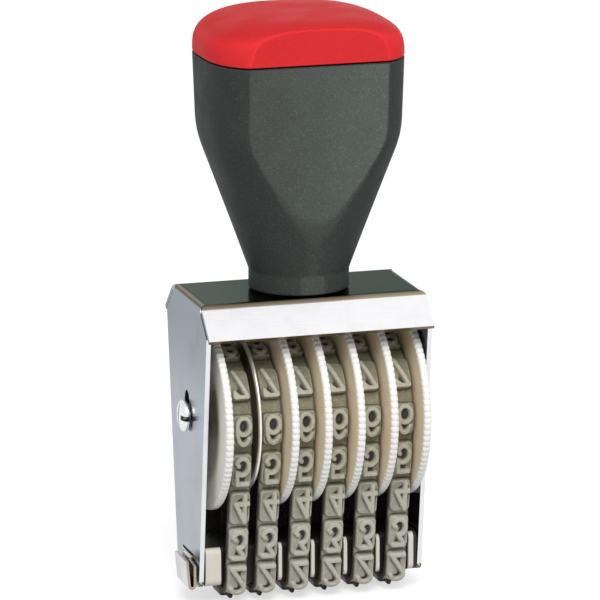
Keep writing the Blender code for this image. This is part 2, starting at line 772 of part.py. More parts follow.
def build_bar(brass):
    """The strip's middle line given its thickness on both sides and its width along Y."""
    rows = bar_rows()
    rings = []
    for i, (x, z, front, back) in enumerate(rows):
        before, after = rows[max(i - 1, 0)], rows[min(i + 1, len(rows) - 1)]
        along = Vector((after[0] - before[0], after[1] - before[1])).normalized()
        step_x, step_z = along.y * BAR_THICKNESS / 2, along.x * BAR_THICKNESS / 2
        top, under = (x - step_x, z + step_z), (x + step_x, z - step_z)
        ring = [(top, -front), (top, back), (under, back), (under, -front)]
        rings.append([(px, y, pz) for (px, pz), y in ring])
    bm = bmesh.new()
    skin_rings(bm, rings)
    return add_piece("foot_bar", bm, brass)


# Handle


def eased_line(z, low_z, low, knee_z, knee, high_z, high):
    """Two straight tapers that meet at the knee, rounded over KINK_EASE to each side of it."""
    first = (knee - low) / (knee_z - low_z)
    second = (high - knee) / (high_z - knee_z)
    t = min(max((z - knee_z) / KINK_EASE, -1.0), 1.0)
    if z <= knee_z - KINK_EASE:
        return knee + first * (z - knee_z)
    if z >= knee_z + KINK_EASE:
        return knee + second * (z - knee_z)
    blend = KINK_EASE * (t + 1) ** 2 / 4
    return knee + first * (z - knee_z) + (second - first) * blend


def face_depth(z):
    """Half depth of the flat faces front and back, which lean in towards the neck."""
    lean = (FACE_HALF_DEPTH - FACE_TIP_HALF_DEPTH) / FACE_TIP_DROP
    return FACE_HALF_DEPTH + lean * (z - PARTING_Z)


def head_ring(z, half_width, half_depth, power, inset=0.0):
    """One level of the handle: |x/a|^n + |y/b|^n = 1, with front and back cut flat.

    Each quarter has points along the flat, up to its corner, and then along the curve.
    """
    a, b = half_width - inset, half_depth - inset
    flat = face_depth(z) - inset
    corner = a * (1 - min(flat / b, 1.0) ** power) ** (1 / power)
    corner = max(corner, a / (2 * CURVE_STEPS))
    quarter = []
    for i in range(FLAT_STEPS):
        x = corner * i / FLAT_STEPS
        quarter.append((x, min(flat, b * (1 - (x / a) ** power) ** (1 / power))))
    first = math.acos((corner / a) ** (power / 2))
    for i in range(CURVE_STEPS):
        angle = first * (1 - i / CURVE_STEPS)
        x, y = a * math.cos(angle) ** (2 / power), b * math.sin(angle) ** (2 / power)
        quarter.append((x, min(flat, y)))
    end = [(a, 0)]
    right_front = [(x, -y) for x, y in quarter]
    right_back = [(x, y) for x, y in reversed(quarter)]
    left_back = [(-x, y) for x, y in quarter[1:]]
    left_front = [(-x, -y) for x, y in reversed(quarter[1:])]
    ring = right_front + end + right_back + left_back + [(-a, 0)] + left_front
    return [(x, y, z) for x, y in ring]


def body_ring(z, inset=0.0):
    """The handle body's outline at a height."""
    width = eased_line(z, NECK_TOP, NECK_RADIUS, KINK_Z, KINK_HALF_WIDTH, PARTING_Z, HEAD_HALF_WIDTH)
    depth = eased_line(z, NECK_TOP, NECK_RADIUS, KINK_Z, KINK_HALF_DEPTH, PARTING_Z, HEAD_HALF_DEPTH)
    share = min(max((z - NECK_TOP) / CONE_HEIGHT, 0.0), 1.0)
    power = NECK_SQUARE_SHARE + (HEAD_SQUARE_SHARE - NECK_SQUARE_SHARE) * share
    if z < NECK_TOP:
        width = depth = NECK_RADIUS
    return head_ring(z, width, depth, power, inset)


def round_ring(z, radius):
    """A circle with as many points as the handle's other rings, in the same order."""
    ring = body_ring(NECK_BOTTOM)
    return [(x * radius / NECK_RADIUS, y * radius / NECK_RADIUS, z) for x, y, _ in ring]


def pocket_ring(z, fit):
    """The pocket for the cap's plug: the head's outline drawn in."""
    half_width, half_depth = HEAD_HALF_WIDTH * POCKET_SHARE, HEAD_HALF_DEPTH * POCKET_SHARE
    ring = head_ring(PARTING_Z, half_width, half_depth, HEAD_SQUARE_SHARE, fit)
    return [(x, y, z) for x, y, _ in ring]


def build_handle_body(plastic):
    """Rings from the screw's bore, round the neck, up the cone and head and into the pocket."""
    bore = HANDLE_SCREW_RADIUS + SEAT_GAP
    levels = [NECK_TOP + CONE_HEIGHT * i / CONE_STEPS for i in range(CONE_STEPS)]
    levels = [z for z in levels if z < KINK_Z - KINK_EASE]
    levels += [KINK_Z + KINK_EASE * share for share in (-1, -1 / 3, 1 / 3, 1)]
    rings = [
        round_ring(NECK_BOTTOM + BORE_DEPTH, bore),
        round_ring(NECK_BOTTOM, bore),
        round_ring(NECK_BOTTOM, NECK_RADIUS - NECK_EDGE),
        body_ring(NECK_BOTTOM + NECK_EDGE),
    ]
    rings += [body_ring(z) for z in levels]
    rings += [
        body_ring(PARTING_Z - CAP_GROOVE),
        body_ring(PARTING_Z, CAP_GROOVE),
        pocket_ring(PARTING_Z, 0),
        pocket_ring(PARTING_Z - POCKET_DEPTH, 0),
    ]
    bm = bmesh.new()
    skin_rings(bm, rings)
    return add_piece("handle_body", bm, plastic)


def build_handle_cap(plastic):
    """The plug, the underside, a short upright wall and the dome.

    At a share h of the dome's height, its half width is a (1 - h^m)^(1/m), and its half
    depth the same with an m of its own, so the top is flatter front to back.
    """
    seat = PARTING_Z + SEAT_GAP
    wall_top = seat + CAP_WALL

    def cap_ring(z, h=0.0, inset=0.0):
        width = HEAD_HALF_WIDTH * (1 - h**DOME_WIDTH_SHARE) ** (1 / DOME_WIDTH_SHARE)
        depth = HEAD_HALF_DEPTH * (1 - h**DOME_DEPTH_SHARE) ** (1 / DOME_DEPTH_SHARE)
        return head_ring(z, width, depth, HEAD_SQUARE_SHARE, inset)

    rings = [
        pocket_ring(seat - PLUG_LENGTH, PLUG_FIT),
        pocket_ring(seat, PLUG_FIT),
        cap_ring(seat, inset=CAP_GROOVE),
        cap_ring(seat + CAP_GROOVE),
    ]
    for i in range(DOME_STEPS):
        h = 1 - (1 - (i + 1) / (DOME_STEPS + 1)) ** 2 if i else 0.0
        rings.append(cap_ring(wall_top + CAP_DOME * h, h))
    bm = bmesh.new()
    skin_rings(bm, rings)
    return add_piece("handle_cap", bm, plastic)


def build_handle_screw(steel):
    """A low round head with a square socket under the washer, and a shank up into the neck."""
    seat = TOP_UNDERSIDE - WASHER_THICKNESS - 2 * SEAT_GAP
    low = seat - HANDLE_HEAD_HEIGHT
    edge = HANDLE_HEAD_HEIGHT / 4
    tip = seat + HANDLE_SCREW_LENGTH
    levels = [
        (HANDLE_HEAD_SOCKET, low + HANDLE_SOCKET_DEPTH),
        (HANDLE_HEAD_SOCKET, low),
        (HANDLE_HEAD_RADIUS - edge, low),
        (HANDLE_HEAD_RADIUS, low + edge),
        (HANDLE_HEAD_RADIUS, seat),
        (HANDLE_SCREW_RADIUS, seat),
        (HANDLE_SCREW_RADIUS, tip - HANDLE_SCREW_RADIUS),
        (HANDLE_SCREW_RADIUS / 3, tip),
    ]
    bm = bmesh.new()
    skin_rings(bm, [[(x, y, z) for x, y in circle(radius, TURN_STEPS)] for radius, z in levels])
    return add_piece("handle_screw", bm, steel)


def build_washer(steel):
    """A flat washer between the handle screw's head and the top of the frame."""
    high = TOP_UNDERSIDE - SEAT_GAP
    low = high - WASHER_THICKNESS
    bore = HANDLE_SCREW_RADIUS + SEAT_GAP
    bm = bmesh.new()
    places = [(bore, low), (WASHER_RADIUS, low), (WASHER_RADIUS, high), (bore, high)]
    close_rings(bm, [[(x, y, z) for x, y in circle(radius, TURN_STEPS)] for radius, z in places])
    return add_piece("handle_washer", bm, steel)


def build_stamp():
    """Every piece of the stamp."""
    nickel = make_material("nickel_plated_steel", (0.72, 0.74, 0.76), 0.28, 1.0)
    zinc = make_material("zinc_plated_steel", (0.78, 0.80, 0.82), 0.30, 1.0)
    brass = make_material("plated_brass", (0.76, 0.72, 0.64), 0.35, 1.0)
    nylon = make_material("white_nylon", (0.86, 0.84, 0.79), 0.45)
    cream = make_material("cream_plastic", (0.80, 0.77, 0.70), 0.55)
    rubber = make_material("olive_rubber", (0.25, 0.25, 0.20), 0.75)
    black = make_material("charcoal_plastic", (0.045, 0.05, 0.048), 0.55)
    red = make_material("red_plastic", (0.72, 0.03, 0.04), 0.45)
    build_frame(nickel)
    build_axle(zinc)
    build_axle_screw("axle_screw_left", -1, zinc)
    build_axle_screw("axle_screw_right", 1, zinc)
    bush_low = -INSIDE + DRUM_END_GAP
    build_ring("left_bush", bush_low, bush_low + BUSH_LENGTH, BUSH_RADIUS, nylon)
    divider = band_x(1) + BAND_WIDTH / 2 + DIVIDER_SIDE_GAP
    build_ring("divider_disc", divider, divider + DIVIDER_THICKNESS, DIVIDER_RADIUS, nickel)
    for number in range(1, BAND_COUNT + 1):
        build_wheel(number, nylon)
        build_band(number, rubber)
    build_foot(cream)
    build_guard(black)
    build_bar(brass)
    build_handle_body(black)
    build_handle_cap(red)
    build_handle_screw(zinc)
    build_washer(zinc)


clear_scene()
build_stamp()
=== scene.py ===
"""Looks of a hand number stamp with six turning number bands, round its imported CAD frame.

Metres, +Z up. X runs along the axle, the front is -Y and z = 0 is the printing plane. The file
is laid out as an add-on: settings, one operator for each group of pieces, and a sidebar panel.
"""

import math

import bmesh
import bpy
import numpy as np
from mathutils import Matrix, Vector


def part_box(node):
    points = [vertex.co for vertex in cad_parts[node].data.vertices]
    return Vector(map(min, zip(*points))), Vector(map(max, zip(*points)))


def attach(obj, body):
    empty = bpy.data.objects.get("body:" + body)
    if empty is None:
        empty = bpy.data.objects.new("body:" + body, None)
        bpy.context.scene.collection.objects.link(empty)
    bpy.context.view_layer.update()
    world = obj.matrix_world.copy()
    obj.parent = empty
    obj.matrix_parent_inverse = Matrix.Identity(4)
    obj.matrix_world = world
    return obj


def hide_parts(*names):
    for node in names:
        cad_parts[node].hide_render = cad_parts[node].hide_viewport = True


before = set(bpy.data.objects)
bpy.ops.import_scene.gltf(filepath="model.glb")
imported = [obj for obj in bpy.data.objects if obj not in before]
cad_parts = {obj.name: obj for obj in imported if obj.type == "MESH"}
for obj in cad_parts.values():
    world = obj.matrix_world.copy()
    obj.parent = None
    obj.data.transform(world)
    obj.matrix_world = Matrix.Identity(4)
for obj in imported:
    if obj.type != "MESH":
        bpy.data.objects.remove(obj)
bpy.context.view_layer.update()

bl_info = {
    "name": "Number stamp",
    "version": (1, 0, 0),
    "blender": (4, 5, 0),
    "location": "View3D > Sidebar > Stamp",
    "description": "Builds the visible pieces of a hand number stamp round its CAD frame",
    "category": "Object",
}

# Sizes of the CAD frame, in metres, a few of them tuned for the look
STAMP = "stamp"
BAND_COUNT = 6
PADS = 15
BAND_WIDTH = 0.0038
BAND_BASE = 0.0009
BAND_DEPTH = 0.0025
PAD_LENGTH = 0.0061
SEAT_GAP = 0.0003
FOOT_DEPTH = 0.0104
FOOT_CORNER = 0.0012
FOOT_BOTTOM = 0.0028
FOOT_TOP = 0.0102
RIB_DEPTH = 0.0150
AXLE_Z = 0.0327
DRUM_RADIUS = 0.0098
SCREW_HEAD = 0.0013
WHEEL_RADIUS = 0.0166
RIM_THICKNESS = 0.00135
DISH_RADIUS = 0.0104
DISH_DEPTH = 0.0004
BORE_RADIUS = 0.00215
HALF_WIDTH = 0.02015
SHEET = 0.0008
SIDE_BEND = 0.0014
TOP_FLAT = 0.0080
LIP_BEND = 0.0027
LIP_ANGLE = math.radians(43.5)
LIP_STRAIGHT = 0.0063
FRAME_TOP = 0.0541
FRAME_TOE = 0.0035
TOE_HALF = 0.00695
TOE_CORNER = 0.0012
BAR_Z = 0.0081
BAR_WIDTH = 0.0064
BAR_THICKNESS = 0.0005
NECK_BOTTOM = 0.0544
NECK_TOP = 0.0577
NECK_RADIUS = 0.0087
KINK_Z = 0.0816
PARTING_Z = 0.0951
HEAD_HALF_WIDTH = 0.01735
HEAD_HALF_DEPTH = 0.0158
KINK_HALF_WIDTH = 0.0170
KINK_HALF_DEPTH = 0.0146
PANEL_DEPTH = 0.0135
PANEL_SLOPE = (0.0135 - 0.01095) / 0.0283
HEAD_POWER = 3.0
PLUG_SIZE = (HEAD_HALF_WIDTH * 0.72, HEAD_HALF_DEPTH * 0.72)
PAD_LABELS = "1234567890-/.  "
# How far the pads have crept along the loop, by pad
PAD_SHIFTS = ((0, 1, 3, 5, 6, 7, 13), (0.0, 0.00035, 0.00035, 0.0009, 0.0009, 0.0014, 0.0))


def band_middle(number):
    """Middle of a band along the axle, from its CAD node."""
    low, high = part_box(f"number_band_{number}")
    return (low.x + high.x) / 2


# Mesh helpers


def grid_quads(rows, columns, wrap_rows=False, wrap_columns=False):
    """Corner numbers of the quads between the points of a grid kept row by row."""
    i = np.arange(rows if wrap_rows else rows - 1)
    j = np.arange(columns if wrap_columns else columns - 1)
    a, b = np.meshgrid(i, j, indexing="ij")
    below, beside = (a + 1) % rows, (b + 1) % columns
    corners = [a * columns + b, a * columns + beside, below * columns + beside, below * columns + b]
    return np.stack(corners, -1).reshape(-1, 4)


def mesh_of(name, points, quads, triangles=None):
    """A mesh from an array of points and arrays of quads and triangles."""
    triangles = np.zeros((0, 3), int) if triangles is None else triangles
    mesh = bpy.data.meshes.new(name)
    mesh.vertices.add(len(points))
    mesh.vertices.foreach_set("co", np.asarray(points, np.float32).ravel())
    corners = np.concatenate([quads.ravel(), triangles.ravel()])
    mesh.loops.add(len(corners))
    mesh.loops.foreach_set("vertex_index", corners.astype(np.int32))
    starts = np.concatenate([np.arange(len(quads)) * 4, len(quads) * 4 + np.arange(len(triangles)) * 3])
    mesh.polygons.add(len(quads) + len(triangles))
    mesh.polygons.foreach_set("loop_start", starts.astype(np.int32))
    mesh.update(calc_edges=True)
    mesh.validate()
    return mesh


def tidy_mesh(mesh, merge=1e-7):
    """Merges doubled points and turns every face outwards."""
    bm = bmesh.new()
    bm.from_mesh(mesh)
    bmesh.ops.remove_doubles(bm, verts=bm.verts, dist=merge)
    bmesh.ops.recalc_face_normals(bm, faces=bm.faces)
    bm.to_mesh(mesh)
    bm.free()
    mesh.update()


def keep_on_points(mesh, name, values):
    """Keeps one number for each point of a mesh, for its paint to read."""
    layer = mesh.attributes.new(name, "FLOAT", "POINT")
    layer.data.foreach_set("value", values.astype(np.float32).ravel())


def new_object(name, data):
    """An object in the scene's own collection."""
    made = bpy.data.objects.new(name, data)
    bpy.context.scene.collection.objects.link(made)
    return made


def add_piece(mesh, materials, smooth_angle=35):
    """An object at the origin that shows a mesh, smooth up to an angle in degrees."""
    for paint in materials:
        mesh.materials.append(paint)
    mesh.shade_smooth()
    mesh.set_sharp_from_angle(angle=math.radians(smooth_angle))
    return new_object(mesh.name, mesh)


def mount_piece(piece, body, slot, *nodes):
    """Lets a finished piece ride a body and hides the CAD nodes it stands for. The slot, its finish's name,
    is not used.
    """
    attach(piece, body)
    if nodes:
        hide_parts(*nodes)


def settle(piece):
    """Puts what a piece's modifiers make into its own mesh."""
    graph = bpy.context.evaluated_depsgraph_get()
    made = bpy.data.meshes.new_from_object(
        piece.evaluated_get(graph), preserve_all_data_layers=True, depsgraph=graph
    )
    old = piece.data
    piece.modifiers.clear()
    piece.data = made
    made.name = piece.name
    bpy.data.meshes.remove(old)


def carve(piece, cutters):
    """Takes closed cutter meshes out of a piece and removes them."""
    for cutter in cutters:
        tool = new_object("cutter", cutter)
        step = piece.modifiers.new("cut", "BOOLEAN")
        step.operation = "DIFFERENCE"
        step.solver = "EXACT"
        step.object = tool
        settle(piece)
        bpy.data.objects.remove(tool)
        bpy.data.meshes.remove(cutter)


def soften(piece, width, segments=2, angle=35):
    """Rounds a piece's hard edges and keeps its flat faces flat in shading."""
    edge = piece.modifiers.new("edges", "BEVEL")
    edge.width = width
    edge.segments = segments
    edge.limit_method = "ANGLE"
    edge.angle_limit = math.radians(angle)
    edge.harden_normals = False
    edge.use_clamp_overlap = True
    settle(piece)
    piece.data.shade_smooth()
    flat = piece.modifiers.new("normals", "WEIGHTED_NORMAL")
    flat.keep_sharp = False
    settle(piece)


def tube_mesh(name, rings, open_ends=False):
    """Joins rings, kept as levels by points by XYZ, and closes both ends round a middle point."""
    levels, count = rings.shape[:2]
    points = rings.reshape(-1, 3)
    quads = grid_quads(levels, count, wrap_columns=True)
    if open_ends:
        return mesh_of(name, points, quads)
    around = np.arange(count)
    beside = (around + 1) % count
    last = (levels - 1) * count
    first_fan = np.stack([beside, around, np.full(count, len(points))], -1)
    last_fan = np.stack([last + around, last + beside, np.full(count, len(points) + 1)], -1)
    points = np.concatenate([points, [rings[0].mean(0)], [rings[-1].mean(0)]])
    mesh = mesh_of(name, points, quads, np.concatenate([first_fan, last_fan]))
    tidy_mesh(mesh)
    return mesh


def lathe_mesh(name, profile, steps, closed=False):
    """Turns (x, radius) pairs round the axle. A closed profile makes a ring-shaped body."""
    profile = np.asarray(profile, float)
    angle = np.linspace(0, 2 * np.pi, steps, endpoint=False)
    x = np.broadcast_to(profile[:, :1], (len(profile), steps))
    rings = np.stack([x, profile[:, 1:] * np.cos(angle), AXLE_Z + profile[:, 1:] * np.sin(angle)], -1)
    if closed:
        rings = np.concatenate([rings, rings[:1]])
        mesh = tube_mesh(name, rings, open_ends=True)
        tidy_mesh(mesh)
        return mesh
    return tube_mesh(name, rings)


def block_mesh(low, high):
    """A box between two corners, as a cutter."""
    x, y, z = zip(low, high)
    ring = [(x[0], y[0]), (x[1], y[0]), (x[1], y[1]), (x[0], y[1])]
    rings = np.array([[(px, py, pz) for px, py in ring] for pz in z])
    return tube_mesh("cutter", rings)


def extruded_mesh(name, outline, low, high):
    """A closed YZ outline carried along X, as a cutter."""
    rings = [np.insert(outline, 0, x, axis=1) for x in (low, high)]
    return tube_mesh(name, np.array(rings))


def arc_points(centre, radius, start, end, steps):
    """Points of an arc in a plane, both ends included."""
    angle = np.linspace(start, end, steps + 1)
    return np.stack([centre[0] + radius * np.cos(angle), centre[1] + radius * np.sin(angle)], -1)


# Node helpers


def add_node(tree, kind, inputs=None, **settings):
    """A shader node with settings, whose inputs are values or other nodes' outputs."""
    made = tree.nodes.new(kind)
    for key, value in settings.items():
        setattr(made, key, value)
    for key, value in (inputs or {}).items():
        if isinstance(value, bpy.types.NodeSocket):
            tree.links.new(value, made.inputs[key])
        else:
            made.inputs[key].default_value = value
    return made


def rgba(colour):
    """A colour with full alpha."""
    return (*tuple(colour)[:3], 1.0)


def new_paint(name, roughness, metallic=0.0):
    """A Principled material whose even values sit on the shader's own sockets."""
    paint = bpy.data.materials.new(name)
    paint.use_nodes = True
    tree = paint.node_tree
    shader = tree.nodes["Principled BSDF"]
    shader.inputs["Roughness"].default_value = roughness
    shader.inputs["Metallic"].default_value = metallic
    place = add_node(tree, "ShaderNodeTexCoord").outputs["Object"]
    return paint, tree, shader, place


def noise(tree, place, size, detail=3.0, distortion=0.0):
    """Noise whose features are about the given size in metres."""
    scale = {"Vector": place, "Scale": 1 / size, "Detail": detail, "Distortion": distortion}
    return add_node(tree, "ShaderNodeTexNoise", scale).outputs["Fac"]


def spread(tree, value, low, high, to_low=0.0, to_high=1.0):
    """Carries a value from one range to another, clamped and smooth."""
    ends = {"Value": value, "From Min": low, "From Max": high, "To Min": to_low, "To Max": to_high}
    made = add_node(tree, "ShaderNodeMapRange", ends, interpolation_type="SMOOTHSTEP")
    return made.outputs["Result"]


def mix_colour(tree, share, first, second, blend="MIX"):
    """Mixes two colours, each a value or an output, by a share."""
    made = add_node(tree, "ShaderNodeMix", data_type="RGBA", blend_type=blend)
    for index, value in ((0, share), (6, first), (7, second)):
        if isinstance(value, bpy.types.NodeSocket):
            tree.links.new(value, made.inputs[index])
        else:
            made.inputs[index].default_value = value if index == 0 else rgba(value)
    return made.outputs[2]


def colour_ramp(tree, value, stops):
    """Carries a value through (place, colour) stops."""
    made = add_node(tree, "ShaderNodeValToRGB", {"Fac": value})
    elements = made.color_ramp.elements
    for element, (place, colour) in zip(elements, (stops[0], stops[-1])):
        element.position, element.color = place, rgba(colour)
    for place, colour in stops[1:-1]:
        elements.new(place).color = rgba(colour)
    return made.outputs["Color"]


def set_bump(tree, shader, heights):
    """Adds bumps, each an output with its height in metres, one after the other."""
    normal = None
    for height, distance in heights:
        inputs = {"Height": height, "Distance": distance, "Strength": 1.0}
        if normal is not None:
            inputs["Normal"] = normal
        normal = add_node(tree, "ShaderNodeBump", inputs).outputs["Normal"]
    tree.links.new(normal, shader.inputs["Normal"])


def attribute(tree, name):
    """A number kept on the mesh's points."""
    return add_node(tree, "ShaderNodeAttribute", attribute_name=name).outputs["Fac"]


def maths(tree, operation, *values):
    """One operation on values and outputs, in the order of the node's inputs."""
    return add_node(tree, "ShaderNodeMath", dict(enumerate(values)), operation=operation).outputs[0]


def split(tree, vector):
    """The X, Y and Z outputs of a vector."""
    return add_node(tree, "ShaderNodeSeparateXYZ", {"Vector": vector}).outputs


def tinted(colour, share):
    """A colour made lighter or darker by a share."""
    return [c * share for c in colour]


def opened(paint):
    """A finished paint's tree and its place in object coordinates, for one more layer."""
    tree = paint.node_tree
    return tree, add_node(tree, "ShaderNodeTexCoord").outputs["Object"]


def recolour(paint, share, colour, blend="MIX"):
    """Lays a colour over a finished paint by a share."""
    tree = paint.node_tree
    socket = tree.nodes["Principled BSDF"].inputs["Base Color"]
    base = socket.links[0].from_socket
    tree.links.new(mix_colour(tree, share, base, colour, blend), socket)


def moulded_plastic(name, colour, roughness, grain, depth, spots=0.12, shine=0.5):
    """Moulded plastic: a fine grain, soft cloudy shade differences and pale dust specks."""
    paint, tree, shader, place = new_paint(name, roughness)
    shader.inputs["Specular IOR Level"].default_value = shine
    dark = [c * (1 - spots * 0.4) for c in colour]
    light = [c + (1 - c) * spots * 0.25 for c in colour]
    cloud = spread(tree, noise(tree, place, 0.006, 4.0), 0.3, 0.7)
    fine = noise(tree, place, grain, 2.0)
    base = mix_colour(tree, cloud, dark, colour)
    base = mix_colour(tree, spread(tree, fine, 0.48, 0.74), base, light)
    tree.links.new(base, shader.inputs["Base Color"])
    rough = spread(tree, cloud, 0.0, 1.0, roughness - 0.04, roughness + 0.06)
    tree.links.new(rough, shader.inputs["Roughness"])
    set_bump(tree, shader, [(fine, depth), (noise(tree, place, 0.0012), depth)])
    return paint


def painted_facet_shade(paint, stops, facet, crease, crown, foot):
    """Paints light and shade into a moulding's colour, against its flat panels.

    The panels face the front and the back, so |N.y| is near 1 there. Over them a painted sheen
    runs along X through three stops. Sides take the facet's share of painted shade, the edges
    between them the crease's share, a painted highlight where it is above 1, and faces that look
    up the crown's share of painted shade. There are no panels below the foot's height.
    """
    tree, place = opened(paint)
    parts = split(tree, add_node(tree, "ShaderNodeNewGeometry").outputs["Normal"])
    front = maths(tree, "ABSOLUTE", parts["Y"])
    place = split(tree, place)
    along = spread(tree, place["X"], -0.014, 0.014)
    panel = colour_ramp(tree, along, [(i / 2, [stop] * 3) for i, stop in enumerate(stops)])
    shade = mix_colour(tree, spread(tree, front, 0.955, 0.985), [facet] * 3, [crease] * 3)
    above = spread(tree, place["Z"], foot - 0.0015, foot + 0.0015)
    on_panel = maths(tree, "MULTIPLY", spread(tree, front, 0.983, 0.993), above)
    shade = mix_colour(tree, on_panel, shade, panel)
    shade = mix_colour(tree, spread(tree, parts["Z"], 0.35, 0.9), shade, [crown] * 3)
    recolour(paint, 1.0, shade, "MULTIPLY")


def plain_metal(name, colour, roughness, scratch=0.0006):
    """Plated metal with fine drawn marks and slight tarnish."""
    paint, tree, shader, place = new_paint(name, roughness, 1.0)
    turned = add_node(tree, "ShaderNodeMapping", {"Vector": place, "Scale": (4.0, 1.0, 0.6)})
    marks = noise(tree, turned.outputs["Vector"], scratch, 4.0)
    tarnish = spread(tree, noise(tree, place, 0.004, 5.0), 0.35, 0.75)
    base = mix_colour(tree, tarnish, colour, tinted(colour, 0.82))
    tree.links.new(base, shader.inputs["Base Color"])
    rough = spread(tree, marks, 0.2, 0.8, roughness - 0.08, roughness + 0.10)
    tree.links.new(rough, shader.inputs["Roughness"])
    set_bump(tree, shader, [(marks, 0.000004)])
    return paint


# Settings


def colour_setting(label, about, value):
    """A colour that the user may change."""
    return bpy.props.FloatVectorProperty(
        name=label, description=about, default=value, size=3, min=0.0, max=1.0, subtype="COLOR"
    )


def length_setting(label, about, value):
    """A length that the user may change."""
    return bpy.props.FloatProperty(
        name=label, description=about, default=value, min=0.0, subtype="DISTANCE", unit="LENGTH"
    )


class BandSettings(bpy.types.PropertyGroup):
    """Sizes and colours of the number bands."""

    glyph_half_width: length_setting("Digit half width", "Middle of the stroke sideways", 0.00115)
    glyph_half_height: length_setting("Digit half height", "Middle of the stroke up and down", 0.00242)
    stroke: length_setting("Stroke", "Half width of a digit's stroke", 0.00040)
    stroke_slope: length_setting("Stroke slope", "Sideways run of a stroke's sides", 0.00022)
    relief: length_setting("Relief", "Height of a digit above its pad", 0.00060)
    pad_corner: length_setting("Pad corner", "Corner radius of a pad", 0.0009)
    pad_slope: length_setting("Pad slope", "Sideways run of a pad's sides", 0.00028)
    # Reach of the painted shade that gathers between strokes
    shade_reach: length_setting("Ink reach", "How far strokes hold ink between them", 0.0009)
    step: length_setting("Step", "Distance between points of the relief", 0.0001)
    rubber: colour_setting("Rubber", "Pads and loop", (0.225, 0.218, 0.140))
    dusty: colour_setting("Dusty rubber", "Pads near the printing end", (0.385, 0.375, 0.315))
    # Paler pad edges and stroke tops: partly wear, partly painted highlight
    chalk_and_highlight: colour_setting("Edges", "Worn edges and stroke tops", (0.520, 0.505, 0.420))
    # Painted shade on the band's sides, round each pad and near the top
    painted_shade: colour_setting("Grime", "Sides of the band and between pads", (0.085, 0.065, 0.045))
    # Real ink on the printing pad, and painted shade between the digits' strokes
    ink_and_shade: colour_setting("Ink", "Ink on the printing pad and in the digits", (0.016, 0.015, 0.012))
    tape: colour_setting("Tape", "Woven tape on the inside", (0.045, 0.032, 0.024))


class WheelSettings(bpy.types.PropertyGroup):
    """Sizes and colours of the thumb wheels."""

    teeth: bpy.props.IntProperty(name="Teeth", description="Teeth round a rim", default=96, min=12)
    tooth_depth: length_setting("Tooth depth", "Depth between two teeth", 0.00042)
    edge_round: length_setting("Edge", "Rounding of a rim's edges", 0.00036)
    nylon: colour_setting("Nylon", "Rim and teeth", (0.86, 0.86, 0.84))
    # Tan side faces: partly aged nylon, partly painted shade
    aged_and_shaded: colour_setting("Aged nylon", "Side faces", (0.95, 0.78, 0.52))


class FrameSettings(bpy.types.PropertyGroup):
    """Sizes and colours of the bent sheet frame and the metal pieces."""

    edge_round: length_setting("Edge", "Rounding of the sheet's edges", 0.00012)
    # The colours from plates to cut edges are painted reflections, laid by which way the sheet faces
    plate: colour_setting("Plates", "Side plates", (0.70, 0.725, 0.785))
    shoulder: colour_setting("Shoulders", "Side plates near the top", (0.485, 0.52, 0.56))
    lip: colour_setting("Lips", "Sloping lips", (0.93, 0.925, 0.945))
    top: colour_setting("Top", "Top of the frame", (0.054, 0.076, 0.056))
    top_left_reflection: colour_setting("Worn top", "Left part of the top", (0.116, 0.130, 0.094))
    bend: colour_setting("Bends", "Bends of the sheet", (0.20, 0.165, 0.11))
    cut_edge: colour_setting("Cut edges", "Front and rear edges of the plates", (0.72, 0.72, 0.73))
    bright: colour_setting("Bright metal", "Screws, divider and axle", (0.80, 0.81, 0.82))


class FootSettings(bpy.types.PropertyGroup):
    """Sizes and colours of the print foot and its bar."""

    edge_round: length_setting("Edge", "Rounding of the foot's edges", 0.00022)
    cream: colour_setting("Foot", "Print foot", (0.68, 0.64, 0.56))
    # Near-black painted shade on top of the foot, also the guard's colour
    painted_shade_tone: colour_setting("Film", "Inky film on top of the foot and the guard", (0.012, 0.011, 0.010))
    strip: colour_setting("Bar", "Faces of the foot bar", (0.60, 0.60, 0.60))
    cut_edge: colour_setting("Bar edges", "Edges of the foot bar", (0.44, 0.36, 0.27))


class HandleSettings(bpy.types.PropertyGroup):
    """Sizes and colours of the handle."""

    crease: length_setting("Crease", "Rounding between panel and side", 0.0005)
    charcoal: colour_setting("Body", "Handle body", (0.105, 0.122, 0.112))
    red: colour_setting("Cap", "Handle cap", (0.740, 0.032, 0.036))


class StageSettings(bpy.types.PropertyGroup):
    """Floor, light and background."""

    key: bpy.props.FloatProperty(
        name="Key", description="Power of the key lamp", default=5.5, unit="POWER"
    )
    fill: bpy.props.FloatProperty(
        name="Fill", description="Power of the fill lamp", default=0.6, unit="POWER"
    )
    sky: bpy.props.FloatProperty(name="Sky", description="Strength of the even light", default=0.62)
    floor: colour_setting("Floor", "Floor", (0.93, 0.93, 0.93))


# Number bands


def loop_lengths():
    """Lengths of the four stretches of half a band's inner face, with the corner's place.

    The stretches are the flat under the foot, the foot's round corner, a straight run that
    leans out and the wrap over the drum.
    """
    corner = FOOT_CORNER + SEAT_GAP
    corner_y, corner_z = -(FOOT_DEPTH / 2 + SEAT_GAP - corner), BAND_DEPTH + corner
    drum = DRUM_RADIUS + SEAT_GAP
    rise, step = AXLE_Z - corner_z, drum - corner
    reach = math.hypot(corner_y, rise)
    lean = math.asin(step / reach) - math.atan2(-corner_y, rise)
    front = -math.pi + lean
    lengths = [
        -corner_y,
        corner * (-math.pi / 2 - front),
        math.sqrt(reach**2 - step**2),
        drum * (math.pi / 2 + lean),
    ]
    return np.array(lengths), corner, corner_y, corner_z, drum, front


